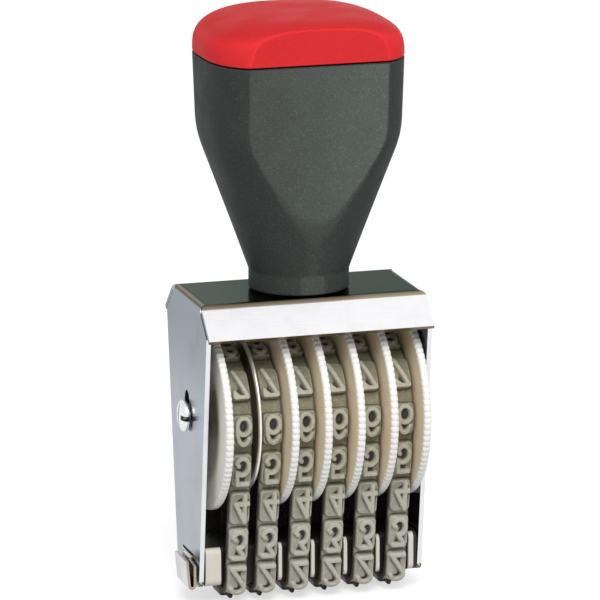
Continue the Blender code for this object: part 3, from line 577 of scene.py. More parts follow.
def loop_points(distance, height):
    """Y and Z at a distance round the loop and a height above its inner face.

    Each stretch gives its own y, z and outward angle, and the height is added along that
    angle. The rear half mirrors the front half.
    """
    lengths, corner, corner_y, corner_z, drum, front = loop_lengths()
    half = lengths.sum()
    ends = np.cumsum(lengths)
    s = np.mod(distance, 2 * half)
    side = np.where(s > half, -1.0, 1.0)
    s = np.where(s > half, 2 * half - s, s)
    on = [s <= ends[0], s <= ends[1], s <= ends[2]]
    turn = -math.pi / 2 - (s - ends[0]) / corner
    run = s - ends[1]
    wrap = front - (s - ends[2]) / drum
    angle = np.select(on, [np.full_like(s, -math.pi / 2), turn, np.full_like(s, front)], wrap)
    start_y, start_z = corner_y + corner * math.cos(front), corner_z + corner * math.sin(front)
    y = np.select(
        on,
        [-s, corner_y + corner * np.cos(turn), start_y + run * math.sin(front)],
        drum * np.cos(wrap),
    )
    z = np.select(
        on,
        [np.full_like(s, BAND_DEPTH), corner_z + corner * np.sin(turn), start_z - run * math.cos(front)],
        AXLE_Z + drum * np.sin(wrap),
    )
    return side * (y + height * np.cos(angle)), z + height * np.sin(angle)


def loop_stops(step):
    """Distances round the inner face whose outer points lie about a step apart."""
    lengths, corner, *_, drum, _ = loop_lengths()
    stretch = np.array([1, 1 + BAND_DEPTH / corner, 1, 1 + BAND_DEPTH / drum])
    inner = np.concatenate([[0], np.cumsum(lengths)])
    outer = np.concatenate([[0], np.cumsum(lengths * stretch)])
    count = int(outer[-1] / step)
    half = np.interp(np.linspace(0, outer[-1], count + 1), outer, inner)
    return np.concatenate([half, 2 * inner[-1] - half[-2:0:-1]]), 2 * inner[-1]


def bow(centre_x, centre_y, radius_x, radius_y, start, end, steps=14):
    """Points on an ellipse from one angle in degrees to another, in shares of the digit's box."""
    angle = np.radians(np.linspace(start, end, steps + 1))
    return np.stack([centre_x + radius_x * np.cos(angle), centre_y + radius_y * np.sin(angle)], -1)


def glyph_strokes(label):
    """A digit's strokes as lines of points, where its box reaches from -1 to 1 both ways."""
    line = np.array
    strokes = {
        "0": [bow(0, 0, 1, 1, 0, 360, 28)],
        "1": [line([(0.15, -1), (0.15, 1), (-0.5, 0.68)])],
        "2": [np.concatenate([bow(0, 0.50, 1, 0.50, 170, -12), line([(-0.95, -0.98), (1.0, -0.98)])])],
        "3": [
            np.concatenate([
                line([(-0.85, 1), (0.85, 1), (-0.10, 0.24)]),
                bow(0, -0.38, 1, 0.62, 88, -158),
                line([(-0.60, -0.44)]),
            ])
        ],
        "4": [line([(0.64, -1), (0.64, 1), (-0.76, -0.38), (1.1, -0.38)])],
        "5": [
            np.concatenate([
                line([(0.9, 1), (-0.72, 1), (-0.80, 0.10)]),
                bow(0, -0.36, 1, 0.64, 128, -155),
                line([(-0.60, -0.42)]),
            ])
        ],
        "6": [bow(0, -0.38, 1, 0.62, 0, 360, 24), bow(0, 0, 1, 1, 195, 32)],
        "7": [
            line([(-0.98, 0.60), (-0.98, 1), (0.98, 1), (-0.75, -1)]),
            line([(-0.98, 0.66), (-0.30, 0.97)]),
        ],
        "8": [bow(0, -0.46, 1, 0.54, 0, 360, 24), bow(0, 0.52, 0.86, 0.48, 0, 360, 24)],
        "9": [bow(0, 0.38, 1, 0.62, 0, 360, 24), bow(0, 0, 1, 1, 15, -148)],
        "-": [line([(-0.8, 0), (0.8, 0)])],
        "/": [line([(-0.8, -0.95), (0.8, 0.95)])],
        ".": [line([(0, -0.9), (0.01, -0.9)])],
    }
    return strokes.get(label, [])


def stroke_distance(x, y, strokes):
    """Distance from every grid point to the nearest piece of a digit's strokes."""
    nearest = np.full(x.shape, 1.0)
    for points in strokes:
        for (ax, ay), (bx, by) in zip(points[:-1], points[1:]):
            along_x, along_y = bx - ax, by - ay
            length = max(along_x**2 + along_y**2, 1e-18)
            t = np.clip(((x - ax) * along_x + (y - ay) * along_y) / length, 0, 1)
            nearest = np.minimum(nearest, np.hypot(x - ax - t * along_x, y - ay - t * along_y))
    return nearest


def smooth(value):
    """Smooth step from 0 to 1."""
    value = np.clip(value, 0, 1)
    return value * value * (3 - 2 * value)


def band_relief(settings, stops, total, across):
    """Height, ink and painted shade, chalk and painted highlight, and painted shade at the sides and
    round the pads over a band's outer face, as stops by places across.

    A pad is a rounded rectangle raised over its slope, measured along its top, and a digit is a
    stroke of even width raised over a short ramp. Painted shade gathers where strokes close in a
    place from many sides: that is the stroke mask blurred by a bell curve, less the mask itself.
    The printing pad takes real ink all over.
    """
    field = BAND_DEPTH - BAND_BASE - settings.relief
    height = np.full((len(stops), len(across)), BAND_BASE)
    ink_and_shade = np.zeros_like(height)
    chalk_and_highlight = np.zeros_like(height)
    # Painted shade along both sides of the band
    painted_shade = np.broadcast_to(smooth((np.abs(across) - BAND_WIDTH / 2 + 0.0003) / 0.0002), height.shape).copy()
    box = np.array([settings.glyph_half_width, settings.glyph_half_height])
    top_y, top_z = loop_points(stops, np.full(len(stops), BAND_DEPTH))
    pieces = np.hypot(np.diff(top_y, append=top_y[0]), np.diff(top_z, append=top_z[0]))
    over_top, around = np.cumsum(pieces) - pieces, pieces.sum()
    for pad, label in enumerate(PAD_LABELS):
        middle = total * pad / PADS + np.interp(pad, PAD_SHIFTS[0], PAD_SHIFTS[1])
        away = (over_top - np.interp(middle, stops, over_top) + around / 2) % around - around / 2
        rows = np.nonzero(np.abs(away) < PAD_LENGTH / 2 + settings.step)[0]
        along, side = np.meshgrid(away[rows], across, indexing="ij")
        corner = settings.pad_corner
        out = np.stack([np.abs(along) - PAD_LENGTH / 2, np.abs(side) - BAND_WIDTH / 2], -1) + corner
        edge = corner - np.hypot(*np.moveaxis(np.maximum(out, 0), -1, 0)) - np.minimum(out.max(-1), 0)
        pad_share = smooth(edge / settings.pad_slope)
        strokes = [points * box for points in glyph_strokes(label)]
        gap = stroke_distance(side, -along, strokes) - settings.stroke
        digit = smooth(0.5 - gap / settings.stroke_slope) * (edge > settings.pad_slope)
        bell_rows = np.exp(-(((away[rows][:, None] - away[rows][None]) / settings.shade_reach) ** 2))
        bell_across = np.exp(-(((across[:, None] - across[None]) / settings.shade_reach) ** 2))
        bell_rows /= bell_rows.sum(1).max()
        bell_across /= bell_across.sum(1).max()
        closed = bell_rows @ digit @ bell_across.T
        clear = smooth((gap - 0.00004) / 0.00014) * smooth((edge - settings.pad_slope) / 0.00015)
        shade = smooth((closed - 0.30) / 0.08) * clear
        inside = pad_share > 0
        height[rows] = np.where(inside, BAND_BASE + pad_share * field + digit * settings.relief, height[rows])
        # Real ink over the printing pad; painted shade between the strokes of the other pads
        ink_and_shade[rows] = np.maximum(ink_and_shade[rows], 1.0 * (edge > -settings.step) if pad == 0 else shade)
        beside = np.abs(side) > BAND_WIDTH / 2 - 0.00012
        # Painted shade in a thin line round each pad
        line = 0.85 * smooth(1.4 - np.abs(edge) / 0.00012)
        painted_shade[rows] = np.where(beside, painted_shade[rows], np.where(inside, line, np.maximum(line, painted_shade[rows])))
        # Pale line on the top edge of each pad's slope and on stroke tops: partly wear, partly painted
        # highlight
        worn_and_lit = smooth(1 - np.abs(edge - settings.pad_slope) / 0.00016)
        chalk_and_highlight[rows] = np.maximum(chalk_and_highlight[rows], np.maximum(0.75 * worn_and_lit, 0.85 * digit))
    return height, ink_and_shade, chalk_and_highlight, painted_shade


def band_mesh(number, settings):
    """A band as one closed surface: the relief outside and a smooth face inside.

    Each stop has a ring of points: across the outer face at the relief's height, then back
    across the inner face at height 0.
    """
    stops, total = loop_stops(settings.step)
    half = BAND_WIDTH / 2
    across = np.linspace(-half, half, int(BAND_WIDTH / settings.step) + 1)
    height, ink_and_shade, chalk_and_highlight, painted_shade = band_relief(settings, stops, total, across)
    low = np.array([0.62, 0.0, 0.0, 0.0, 0.62]) * BAND_BASE
    under_x = np.array([half, half - 0.0001, 0.0, -half + 0.0001, -half])
    sideways = np.concatenate([across, under_x])
    level = np.concatenate([height, np.broadcast_to(low, (len(stops), len(low)))], 1)
    y, z = loop_points(np.broadcast_to(stops[:, None], level.shape), level)
    x = np.broadcast_to(band_middle(number) + sideways, level.shape)
    points = np.stack([x, y, z], -1).reshape(-1, 3)
    rows, columns = level.shape
    mesh = mesh_of(f"band_{number}", points, grid_quads(rows, columns, True, True))
    tape = np.zeros_like(level)
    tape[:, len(across) :] = 1.0
    zero = np.zeros((rows, len(low)))
    for name, values in (
        ("ink_and_shade", np.concatenate([ink_and_shade, zero], 1)),
        ("chalk_and_highlight", np.concatenate([chalk_and_highlight, zero], 1)),
        ("painted_shade", np.concatenate([painted_shade, zero + 1], 1)),
        ("tape", tape),
    ):
        keep_on_points(mesh, name, values)
    corner = np.empty(len(mesh.loops), np.int32)
    mesh.loops.foreach_get("vertex_index", corner)
    flat = np.stack([np.repeat(stops, columns), np.tile(sideways, rows)], -1) * 1000
    mesh.uv_layers.new(name="UVMap").data.foreach_set("uv", flat[corner].astype(np.float32).ravel())
    return mesh


def turn_outwards(mesh):
    """Flips a closed mesh whose volume comes out negative."""
    bm = bmesh.new()
    bm.from_mesh(mesh)
    if bm.calc_volume(signed=True) < 0:
        bmesh.ops.reverse_faces(bm, faces=bm.faces)
        bm.to_mesh(mesh)
    bm.free()
    mesh.update()


def band_paint(settings):
    """Olive rubber with chalky edges partly painted as highlight, ink, painted shade and a woven tape on its
    inner side.

    The weave is two sine waves along the UV map, in millimetres, laid over each other.
    """
    paint, tree, shader, place = new_paint("band_rubber", 0.72)
    shader.inputs["Specular IOR Level"].default_value = 0.35
    dust = spread(tree, noise(tree, place, 0.0012, 5.0), 0.35, 0.70, 0.82, 1.12)
    fine = noise(tree, place, 0.00022, 3.0)
    level = split(tree, place)["Z"]
    base = mix_colour(tree, spread(tree, level, 0.012, 0.026), settings.dusty, settings.rubber)
    shade = mix_colour(tree, 1.0, base, dust, "MULTIPLY")
    pale = mix_colour(tree, 0.25, shade, settings.chalk_and_highlight)
    base = mix_colour(tree, spread(tree, fine, 0.35, 0.75), shade, pale)
    # Painted shade: the bands darker towards the top, under the frame's lips
    high = spread(tree, level, 0.0415, 0.0450, 0.0, 0.75)
    painted_shade_share = maths(tree, "MAXIMUM", attribute(tree, "painted_shade"), high)
    base = mix_colour(tree, painted_shade_share, base, settings.painted_shade)
    # Pale worn edges and stroke tops: partly wear, partly painted highlight
    patchy = spread(tree, noise(tree, place, 0.0007, 4.0), 0.25, 0.60, 0.55, 1.0)
    worn_and_lit = maths(tree, "MULTIPLY", attribute(tree, "chalk_and_highlight"), patchy)
    base = mix_colour(tree, worn_and_lit, base, settings.chalk_and_highlight)
    # Real ink on the printing pad, painted shade between the other pads' strokes
    ink_and_shade = attribute(tree, "ink_and_shade")
    base = mix_colour(tree, ink_and_shade, base, settings.ink_and_shade)
    thread = split(tree, add_node(tree, "ShaderNodeUVMap", uv_map="UVMap").outputs["UV"])
    waves = [
        maths(tree, "SINE", maths(tree, "MULTIPLY", thread[axis], 2 * math.pi / spacing))
        for axis, spacing in (("X", 0.42), ("Y", 0.38))
    ]
    weave = maths(tree, "MULTIPLY", *waves)
    lit = spread(tree, weave, -0.6, 0.8)
    cloth = mix_colour(tree, lit, tinted(settings.tape, 0.35), tinted(settings.tape, 2.4))
    tape = attribute(tree, "tape")
    base = mix_colour(tree, spread(tree, tape, 0.05, 0.5), base, cloth)
    tree.links.new(base, shader.inputs["Base Color"])
    rough = add_node(tree, "ShaderNodeMapRange", {"Value": ink_and_shade, "To Min": 0.72, "To Max": 0.42})
    tree.links.new(rough.outputs["Result"], shader.inputs["Roughness"])
    woven = maths(tree, "MULTIPLY", weave, tape)
    set_bump(tree, shader, [(fine, 0.000012), (woven, 0.00004)])
    return paint


class BuildBands(bpy.types.Operator):
    """Build the six number bands with their raised digits"""

    bl_idname = "stamp.build_bands"
    bl_label = "Number bands"

    def execute(self, context):
        settings = context.scene.stamp_bands
        paint = band_paint(settings)
        for number in range(1, BAND_COUNT + 1):
            mesh = band_mesh(number, settings)
            turn_outwards(mesh)
            band = add_piece(mesh, [paint], 60)
            mount_piece(band, STAMP, "olive_rubber", f"number_band_{number}")
        return {"FINISHED"}


# Thumb wheels


def wheel_profile(number, settings):
    """A wheel's outline as (x, radius, share of the teeth, age and shade), from bore round to bore.
    The last is the share of the tan side tint, partly aged nylon and partly painted shade.
    """
    side = -1 if number == 1 else 1
    low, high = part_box(f"thumb_wheel_{number}")
    drum_end, outer = (high.x, low.x) if side < 0 else (low.x, high.x)
    inner = outer - side * RIM_THICKNESS
    radius, round_edge = WHEEL_RADIUS, settings.edge_round
    floor = outer - side * DISH_DEPTH
    rows = [
        (drum_end, BORE_RADIUS, 0, 0.6),
        (drum_end, DRUM_RADIUS - 0.0002, 0, 0.6),
        (drum_end + side * 0.0002, DRUM_RADIUS, 0, 0.6),
        (inner - side * 0.0003, DRUM_RADIUS, 0, 1.0),
        (inner, DRUM_RADIUS + 0.0003, 0, 1.0),
        (inner, DISH_RADIUS, 0, 1.0),
        (inner, radius - 0.0016, 0, 0.9),
        (inner, radius - 0.0008, 0.35, 0.75),
    ]
    turn = [0, 22, 45, 68, 90]
    for face, inward, age_and_shade, angles in ((inner, side, 0.35, turn), (outer, -side, 0.2, turn[::-1])):
        for angle in np.radians(angles):
            x = face + inward * round_edge * (1 - math.cos(angle))
            share = 0.55 + 0.45 * math.sin(2 * angle) - 0.32 * math.sin(angle)
            rows.append((x, radius - round_edge * (1 - math.sin(angle)), share, age_and_shade * math.cos(angle)))
    rows += [
        (outer, radius - 0.0008, 0.35, 0.25),
        (outer, radius - 0.0016, 0, 0.25),
        (outer, 0.0130, 0, 0.35),
        (outer, DISH_RADIUS + 0.0002, 0, 0.85),
        (outer - side * 0.0001, DISH_RADIUS, 0, 0.6),
        (floor, DISH_RADIUS - DISH_DEPTH, 0, 1.0),
        (floor, BORE_RADIUS + 0.0024, 0, 1.0),
        (floor, BORE_RADIUS, 0, 1.0),
    ]
    return np.array(rows)


def wheel_mesh(number, settings):
    """The outline turned round the axle. A tooth's height is |cos| of half its angle."""
    rows = wheel_profile(number, settings)
    steps = settings.teeth * 8
    angle = np.linspace(0, 2 * np.pi, steps, endpoint=False)
    tooth = 1 - np.abs(np.cos(angle * settings.teeth / 2)) ** 0.6
    radius = rows[:, 1:2] - rows[:, 2:3] * settings.tooth_depth * tooth
    x = np.broadcast_to(rows[:, :1], radius.shape)
    points = np.stack([x, radius * np.cos(angle), AXLE_Z + radius * np.sin(angle)], -1)
    mesh = mesh_of(f"wheel_{number}_nylon", points.reshape(-1, 3), grid_quads(len(rows), steps, True, True))
    turn_outwards(mesh)
    age_and_shade = np.broadcast_to(rows[:, 3:4], radius.shape)
    keep_on_points(mesh, "age_and_shade", age_and_shade)
    return mesh


def nylon_paint(settings, name="wheel_nylon", painted_shade=0.0):
    """White nylon whose side faces are tinted tan over a cloudy noise, partly aged nylon and partly painted
    shade; a given share adds more painted shade on the faces, dark olive low down and tan higher up.
    """
    paint, tree, shader, place = new_paint(name, 0.42)
    age_and_shade = attribute(tree, "age_and_shade")
    cloud = spread(tree, noise(tree, place, 0.003, 4.0), 0.3, 0.7, 0.75, 1.0)
    # Tan side faces, partly aged nylon and partly painted shade
    base = mix_colour(tree, maths(tree, "MULTIPLY", age_and_shade, cloud), settings.nylon, settings.aged_and_shaded)
    if painted_shade:
        # Painted shade on the faces: dark olive low down, tan higher up
        shade_painted = spread(tree, age_and_shade, 0.35, 0.9, 0.0, painted_shade)
        level = split(tree, place)["Z"]
        painted_shade_tone = mix_colour(tree, spread(tree, level, 0.036, 0.047), (0.14, 0.14, 0.055), (0.55, 0.41, 0.21))
        base = mix_colour(tree, shade_painted, base, painted_shade_tone)
    tree.links.new(base, shader.inputs["Base Color"])
    fine = noise(tree, place, 0.0003, 3.0)
    set_bump(tree, shader, [(fine, 0.000006)])
    return paint


class BuildWheels(bpy.types.Operator):
    """Build the six toothed thumb wheels"""

    bl_idname = "stamp.build_wheels"
    bl_label = "Thumb wheels"

    def execute(self, context):
        settings = context.scene.stamp_wheels
        clean = nylon_paint(settings)
        # The first wheel takes painted shade on its faces
        shade_painted = nylon_paint(settings, "first_wheel_nylon", 0.8)
        for number in range(1, BAND_COUNT + 1):
            wheel = add_piece(wheel_mesh(number, settings), [shade_painted if number == 1 else clean], 50)
            mount_piece(wheel, f"wheel_{number}", "white_nylon", f"thumb_wheel_{number}")
        return {"FINISHED"}


# Frame


def lip_strip(steps=12):
    """Outer face of a lip as rows of (distance from the middle, height, half width)."""
    share = np.linspace(0, 1, steps + 1)
    angle = LIP_ANGLE * share
    y = TOP_FLAT + LIP_BEND * np.sin(angle)
    z = FRAME_TOP - LIP_BEND * (1 - np.cos(angle))
    start, end = HALF_WIDTH - SIDE_BEND, HALF_WIDTH - 0.0001
    rows = np.stack([y, z, start + (end - start) * np.sin(math.pi / 2 * share)], -1)
    down = [LIP_STRAIGHT * math.cos(LIP_ANGLE), -LIP_STRAIGHT * math.sin(LIP_ANGLE), 0]
    return np.concatenate([rows, rows[-1:] + down])


def plate_strip(steps=12):
    """Outer face of a side plate as rows of (distance from the middle, height, half depth)."""
    share = np.linspace(0, 1, steps + 1)
    inner = LIP_BEND - SHEET - SEAT_GAP
    centre = FRAME_TOP - LIP_BEND
    first = math.acos(min(1.0, (LIP_BEND - SIDE_BEND) / inner))
    turn = math.pi / 2 * share
    bend = np.stack(
        [
            HALF_WIDTH - SIDE_BEND * (1 - np.sin(turn)),
            FRAME_TOP - SIDE_BEND * (1 - np.cos(turn)),
            TOP_FLAT + inner * math.sin(first) * share,
        ],
        -1,
    )
    angle = first + (LIP_ANGLE - first) * share[1:]
    level = np.full(steps, HALF_WIDTH)
    shoulder = np.stack([level, centre + inner * np.cos(angle), TOP_FLAT + inner * np.sin(angle)], -1)
    lip_low = lip_strip()[-1, 1]
    wide = shoulder[-1, 2] + (shoulder[-1, 1] - lip_low) / math.tan(LIP_ANGLE)
    toe = arc_points((TOE_HALF - TOE_CORNER, FRAME_TOE + TOE_CORNER), TOE_CORNER, 0, -math.pi / 2, 6)
    toe = np.stack([np.full(len(toe), HALF_WIDTH), toe[:, 1], toe[:, 0]], -1)
    return np.concatenate([bend, shoulder, [(HALF_WIDTH, lip_low, wide)], toe])


def frame_skin():
    """The sheet's outer face: the top and, off each of its edges, a strip of rows."""
    edge = HALF_WIDTH - SIDE_BEND
    points = [np.array([(x, y, FRAME_TOP) for x in (-edge, edge) for y in (-TOP_FLAT, TOP_FLAT)])]
    quads = [np.array([[0, 2, 3, 1]])]
    start = 4
    for side in (-1, 1):
        x, z, y = plate_strip().T
        away, low, wide = lip_strip().T
        plate = [np.stack([side * x, s * y, z], -1) for s in (-1, 1)]
        lip = [np.stack([s * wide, side * away, low], -1) for s in (-1, 1)]
        for edges in (plate, lip):
            points.append(np.stack(edges, 1).reshape(-1, 3))
            quads.append(start + grid_quads(len(edges[0]), 2))
            start += 2 * len(edges[0])
    mesh = mesh_of("frame_sheet", np.concatenate(points), np.concatenate(quads))
    tidy_mesh(mesh, 1e-6)
    return mesh


def keyhole_outline():
    """YZ outline of the plates' hole: round the axle, narrowing to a round tip above."""
    tip, rise = 0.0014, 0.0031
    lean = math.asin((BORE_RADIUS - tip) / rise)
    low = arc_points((0, AXLE_Z), BORE_RADIUS, math.pi - lean, 2 * math.pi + lean, 32)
    high = arc_points((0, AXLE_Z + rise), tip, lean, math.pi - lean, 14)
    return np.concatenate([low, high])


def plated_sheet(settings):
    """Satin plating whose tint follows which way the sheet faces: painted reflections.

    The top is painted dull green-grey and lighter to the left, the bends olive brown, the lips
    bright, the cut edges pale and the plates blue grey, darker towards the top; faces that look
    down take a painted brown shade. Fine rolled marks and faint stains lie over it.
    """
    paint, tree, shader, place = new_paint("satin_plating", 0.34, 1.0)
    shader.inputs["Specular Tint"].default_value = (0.42, 0.45, 0.45, 1.0)
    parts = split(tree, add_node(tree, "ShaderNodeNewGeometry").outputs["Normal"])
    sideways = maths(tree, "ABSOLUTE", parts["X"])
    middle = split(tree, place)
    # Painted reflection: the plates darker towards the top
    plate = mix_colour(tree, spread(tree, middle["Z"], 0.030, 0.050), settings.plate, settings.shoulder)
    # Painted reflection: the top lighter to the left
    top = mix_colour(tree, spread(tree, middle["X"], -0.018, -0.003), settings.top_left_reflection, settings.top)
    # Painted reflections by the normal's height: pale cut edges, bright lips, olive-brown bends, dark top
    over_lip = colour_ramp(
        tree,
        parts["Z"],
        [
            (0.0, settings.cut_edge),
            (0.45, settings.lip),
            (0.75, settings.lip),
            (0.79, tinted(settings.bend, 1.9)),
            (0.90, tinted(settings.bend, 1.3)),
            (0.96, tinted(settings.bend, 0.7)),
            (0.985, settings.top),
        ],
    )
    over_side = colour_ramp(
        tree,
        sideways,
        [(0.08, settings.top), (0.22, tinted(settings.bend, 0.8)), (0.72, settings.bend)],
    )
    over_lip = mix_colour(tree, spread(tree, parts["Z"], 0.95, 0.99), over_lip, top)
    over_side = mix_colour(tree, spread(tree, sideways, 0.72, 0.92), over_side, plate)
    base = mix_colour(tree, spread(tree, sideways, 0.03, 0.10), over_lip, over_side)
    stain = spread(tree, noise(tree, place, 0.009, 5.0, 0.4), 0.45, 0.80)
    base = mix_colour(tree, stain, base, (0.90, 0.89, 0.87), "MULTIPLY")
    # Painted shade: faces that look down turn brown
    base = mix_colour(tree, maths(tree, "LESS_THAN", parts["Z"], -0.35), base, settings.bend)
    # Painted shade on the walls of the keyhole and the bar slot
    inward = spread(tree, maths(tree, "ABSOLUTE", middle["Y"]), 0.0034, 0.0036, 1.0, 0.0)
    hole = maths(tree, "MULTIPLY", inward, spread(tree, sideways, 0.3, 0.6, 1.0, 0.0))
    hole = maths(tree, "MULTIPLY", hole, spread(tree, middle["Z"], 0.048, 0.049, 1.0, 0.0))
    base = mix_colour(tree, hole, base, (0.05, 0.05, 0.045))
    tree.links.new(base, shader.inputs["Base Color"])
    rise, flat = spread(tree, parts["Z"], 0.74, 0.80), spread(tree, parts["Z"], 0.94, 0.985, 1.0, 0.0)
    bent = maths(tree, "MULTIPLY", rise, flat)
    tree.links.new(spread(tree, bent, 0.0, 1.0, 1.0, 0.35), shader.inputs["Metallic"])
    rolled = add_node(tree, "ShaderNodeMapping", {"Vector": place, "Scale": (0.3, 3.0, 0.3)})
    marks = noise(tree, rolled.outputs["Vector"], 0.0007, 5.0)
    tree.links.new(spread(tree, marks, 0.2, 0.8, 0.15, 0.26), shader.inputs["Roughness"])
    set_bump(tree, shader, [(marks, 0.000005), (noise(tree, place, 0.00015, 2.0), 0.000003)])
    return paint


class BuildFrame(bpy.types.Operator):
    """Build the bent sheet frame with its holes"""

    bl_idname = "stamp.build_frame"
    bl_label = "Frame"

    def execute(self, context):
        settings = context.scene.stamp_frame
        sheet = add_piece(frame_skin(), [plated_sheet(settings)])
        top = min(sheet.data.polygons, key=lambda face: -face.center.z)
        if top.normal.z < 0:
            sheet.data.flip_normals()
        wall = sheet.modifiers.new("wall", "SOLIDIFY")
        wall.thickness = SHEET
        wall.offset = -1
        wall.use_even_offset = True
        settle(sheet)
        reach = HALF_WIDTH + 0.001
        half, thick = BAR_WIDTH / 2 + SEAT_GAP, BAR_THICKNESS / 2 + SEAT_GAP
        hole = np.insert(arc_points((0, 0), 0.0022, 0, 2 * math.pi, 32)[:-1], 2, 0, axis=1)
        carve(
            sheet,
            [
                extruded_mesh("cutter", keyhole_outline(), -reach, reach),
                block_mesh((-reach, -half, BAR_Z - thick), (reach, half, BAR_Z + thick)),
                tube_mesh("cutter", np.array([hole + (0, 0, 0.0525), hole + (0, 0, 0.0550)])),
            ],
        )
        soften(sheet, settings.edge_round)
        mount_piece(sheet, STAMP, "nickel_plated_steel", "frame")
        return {"FINISHED"}


# Axle screws, divider and the small pieces that keep their CAD shape


def screw_mesh(side):
    """A domed head on a shank, turned about the axle from (x, radius) pairs."""
    seat = HALF_WIDTH + SEAT_GAP
    dome = [
        (seat + 0.0004 + (SCREW_HEAD - 0.0004) * math.sin(angle), 0.0028 * math.cos(angle))
        for angle in np.linspace(0, math.pi / 2, 12)[:-1]
    ]
    rows = [(seat - 0.0055, 0.0004), (seat - 0.0052, 0.0011), (seat, 0.0011), (seat, 0.0027)]
    rows += [(seat + 0.0001, 0.0028)] + dome + [(seat + SCREW_HEAD, 0.0001)]
    return lathe_mesh("screw", [(side * x, radius) for x, radius in rows], 64)


def darken(paint, low, high, colour):
    """Paints shade: mixes a paint towards a colour inside a box in object coordinates."""
    tree, place = opened(paint)
    parts, share = split(tree, place), 1.0
    for axis, near, far in zip("XYZ", low, high):
        centre, reach = (near + far) / 2, (far - near) / 2
        away = maths(tree, "ABSOLUTE", maths(tree, "SUBTRACT", parts[axis], centre))
        share = maths(tree, "MULTIPLY", spread(tree, away, reach, reach + 0.00005, 1.0, 0.0), share)
    recolour(paint, share, colour)


def painted_disc_shade(paint, radius, colour):
    """Paints shade: mixes a disc's paint towards a colour within a radius of the axle."""
    tree, place = opened(paint)
    flat = {0: place, 1: (0, 1, 1), 2: (0, 0, -AXLE_Z)}
    flat = add_node(tree, "ShaderNodeVectorMath", flat, operation="MULTIPLY_ADD")
    away = add_node(tree, "ShaderNodeVectorMath", {0: flat.outputs[0]}, operation="LENGTH").outputs["Value"]
    recolour(paint, spread(tree, away, radius - 0.0003, radius + 0.0003, 1.0, 0.0), colour)


class BuildFittings(bpy.types.Operator):
    """Build the axle screws and the divider, and finish the small CAD pieces"""

    bl_idname = "stamp.build_fittings"
    bl_label = "Fittings"

    def execute(self, context):
        settings = context.scene.stamp_frame
        bright = plain_metal("bright_steel", settings.bright, 0.32)
        # Painted shade inside each screw head's cross hole
        for side in (-1, 1):
            low, high = sorted((side * 0.0030, side * 0.0012))
            under, over = AXLE_Z - 0.00041, AXLE_Z + 0.00041
            darken(bright, (-0.03, low, under), (0.03, high, over), (0.02, 0.02, 0.018))
        dull = plain_metal("zinc_plate", tinted(settings.bright, 0.8), 0.34)
        for side, word in ((-1, "left"), (1, "right")):
            mesh = screw_mesh(side)
            mesh.name = f"cross_screw_{word}"
            screw = add_piece(mesh, [bright])
            end = side * (HALF_WIDTH + SEAT_GAP + SCREW_HEAD)
            x, turn = end - side * 0.0007, arc_points((0, 0), 0.00042, 0, 2 * math.pi, 20)[:-1]
            hole = np.stack([x + turn[:, 0], np.zeros(20), AXLE_Z + turn[:, 1]], -1)
            near, far = sorted((end - side * 0.0004, end + side * 0.001))
            slot = block_mesh((near, -0.00035, AXLE_Z - 0.0038), (far, 0.00035, AXLE_Z + 0.0038))
            carve(screw, [tube_mesh("cutter", np.array([hole - (0, 0.004, 0), hole + (0, 0.004, 0)])), slot])
            soften(screw, 0.00006)
            mount_piece(screw, STAMP, "zinc_plated_steel", f"axle_screw_{word}")
        low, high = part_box("divider_disc")
        radius, middle, half = high.y, (low.x + high.x) / 2, (high.x - low.x) / 2
        edge = [
            (middle + half * math.sin(a), radius - half + half * math.cos(a))
            for a in np.radians(np.linspace(-90, 90, 7))
        ]
        profile = [(middle - half, BORE_RADIUS)] + edge + [(middle + half, BORE_RADIUS)]
        polished = plain_metal("polished_divider", (0.92, 0.89, 0.81), 0.36)
        polished.node_tree.nodes["Principled BSDF"].inputs["Metallic"].default_value = 0.6
        # Painted shade on the divider's face in the gap beside the bands
        painted_disc_shade(polished, 0.0130, (0.10, 0.085, 0.06))
        disc = add_piece(lathe_mesh("divider_plate", profile, 160, closed=True), [polished])
        mount_piece(disc, STAMP, "nickel_plated_steel", "divider_disc")
        bush = moulded_plastic("bush_nylon", (0.60, 0.56, 0.46), 0.45, 0.0003, 0.000006)
        for name, paint in (
            ("axle", dull),
            ("handle_screw", dull),
            ("handle_washer", dull),
            ("left_bush", bush),
        ):
            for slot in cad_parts[name].material_slots:
                slot.material = paint
        return {"FINISHED"}


# Print foot and foot bar


def rounded_outline(half_depth, low, high, radius, steps=6):
    """A YZ rectangle about Y = 0 with round corners."""
    y, quarter = half_depth - radius, math.pi / 2
    top, under = high - radius, low + radius
    corners = ((y, top), (-y, top), (-y, under), (y, under))
    arcs = [arc_points(at, radius, i * quarter, (i + 1) * quarter, steps) for i, at in enumerate(corners)]
    return np.concatenate(arcs)


def foot_mesh():
    """The comb as outlines carried along X: cheek, core, rib, core and so on."""
    core = rounded_outline(FOOT_DEPTH / 2, FOOT_BOTTOM, FOOT_TOP, FOOT_CORNER)
    low = FOOT_BOTTOM + 0.0009
    wall = rounded_outline(RIB_DEPTH / 2, low, FOOT_TOP + 0.0004, FOOT_CORNER)
    box_low, box_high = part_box("print_foot")
    middles = [band_middle(number) for number in range(1, BAND_COUNT + 1)]
    walls = [(box_low.x, box_low.x + 0.0027)]
    for middle in middles[1:-1]:
        side = middle + BAND_WIDTH / 2 + SEAT_GAP
        walls.append((side, side + 0.0006))
    walls.append((middles[-1] + BAND_WIDTH / 2 + SEAT_GAP, box_high.x))
    rings = []
    for index, (near, far) in enumerate(walls):
        if index > 0:
            rings.append(np.insert(core, 0, near, axis=1))
        rings += [np.insert(wall, 0, near, axis=1), np.insert(wall, 0, far, axis=1)]
        if index < len(walls) - 1:
            rings.append(np.insert(core, 0, far, axis=1))
    return tube_mesh("foot_comb", np.array(rings))


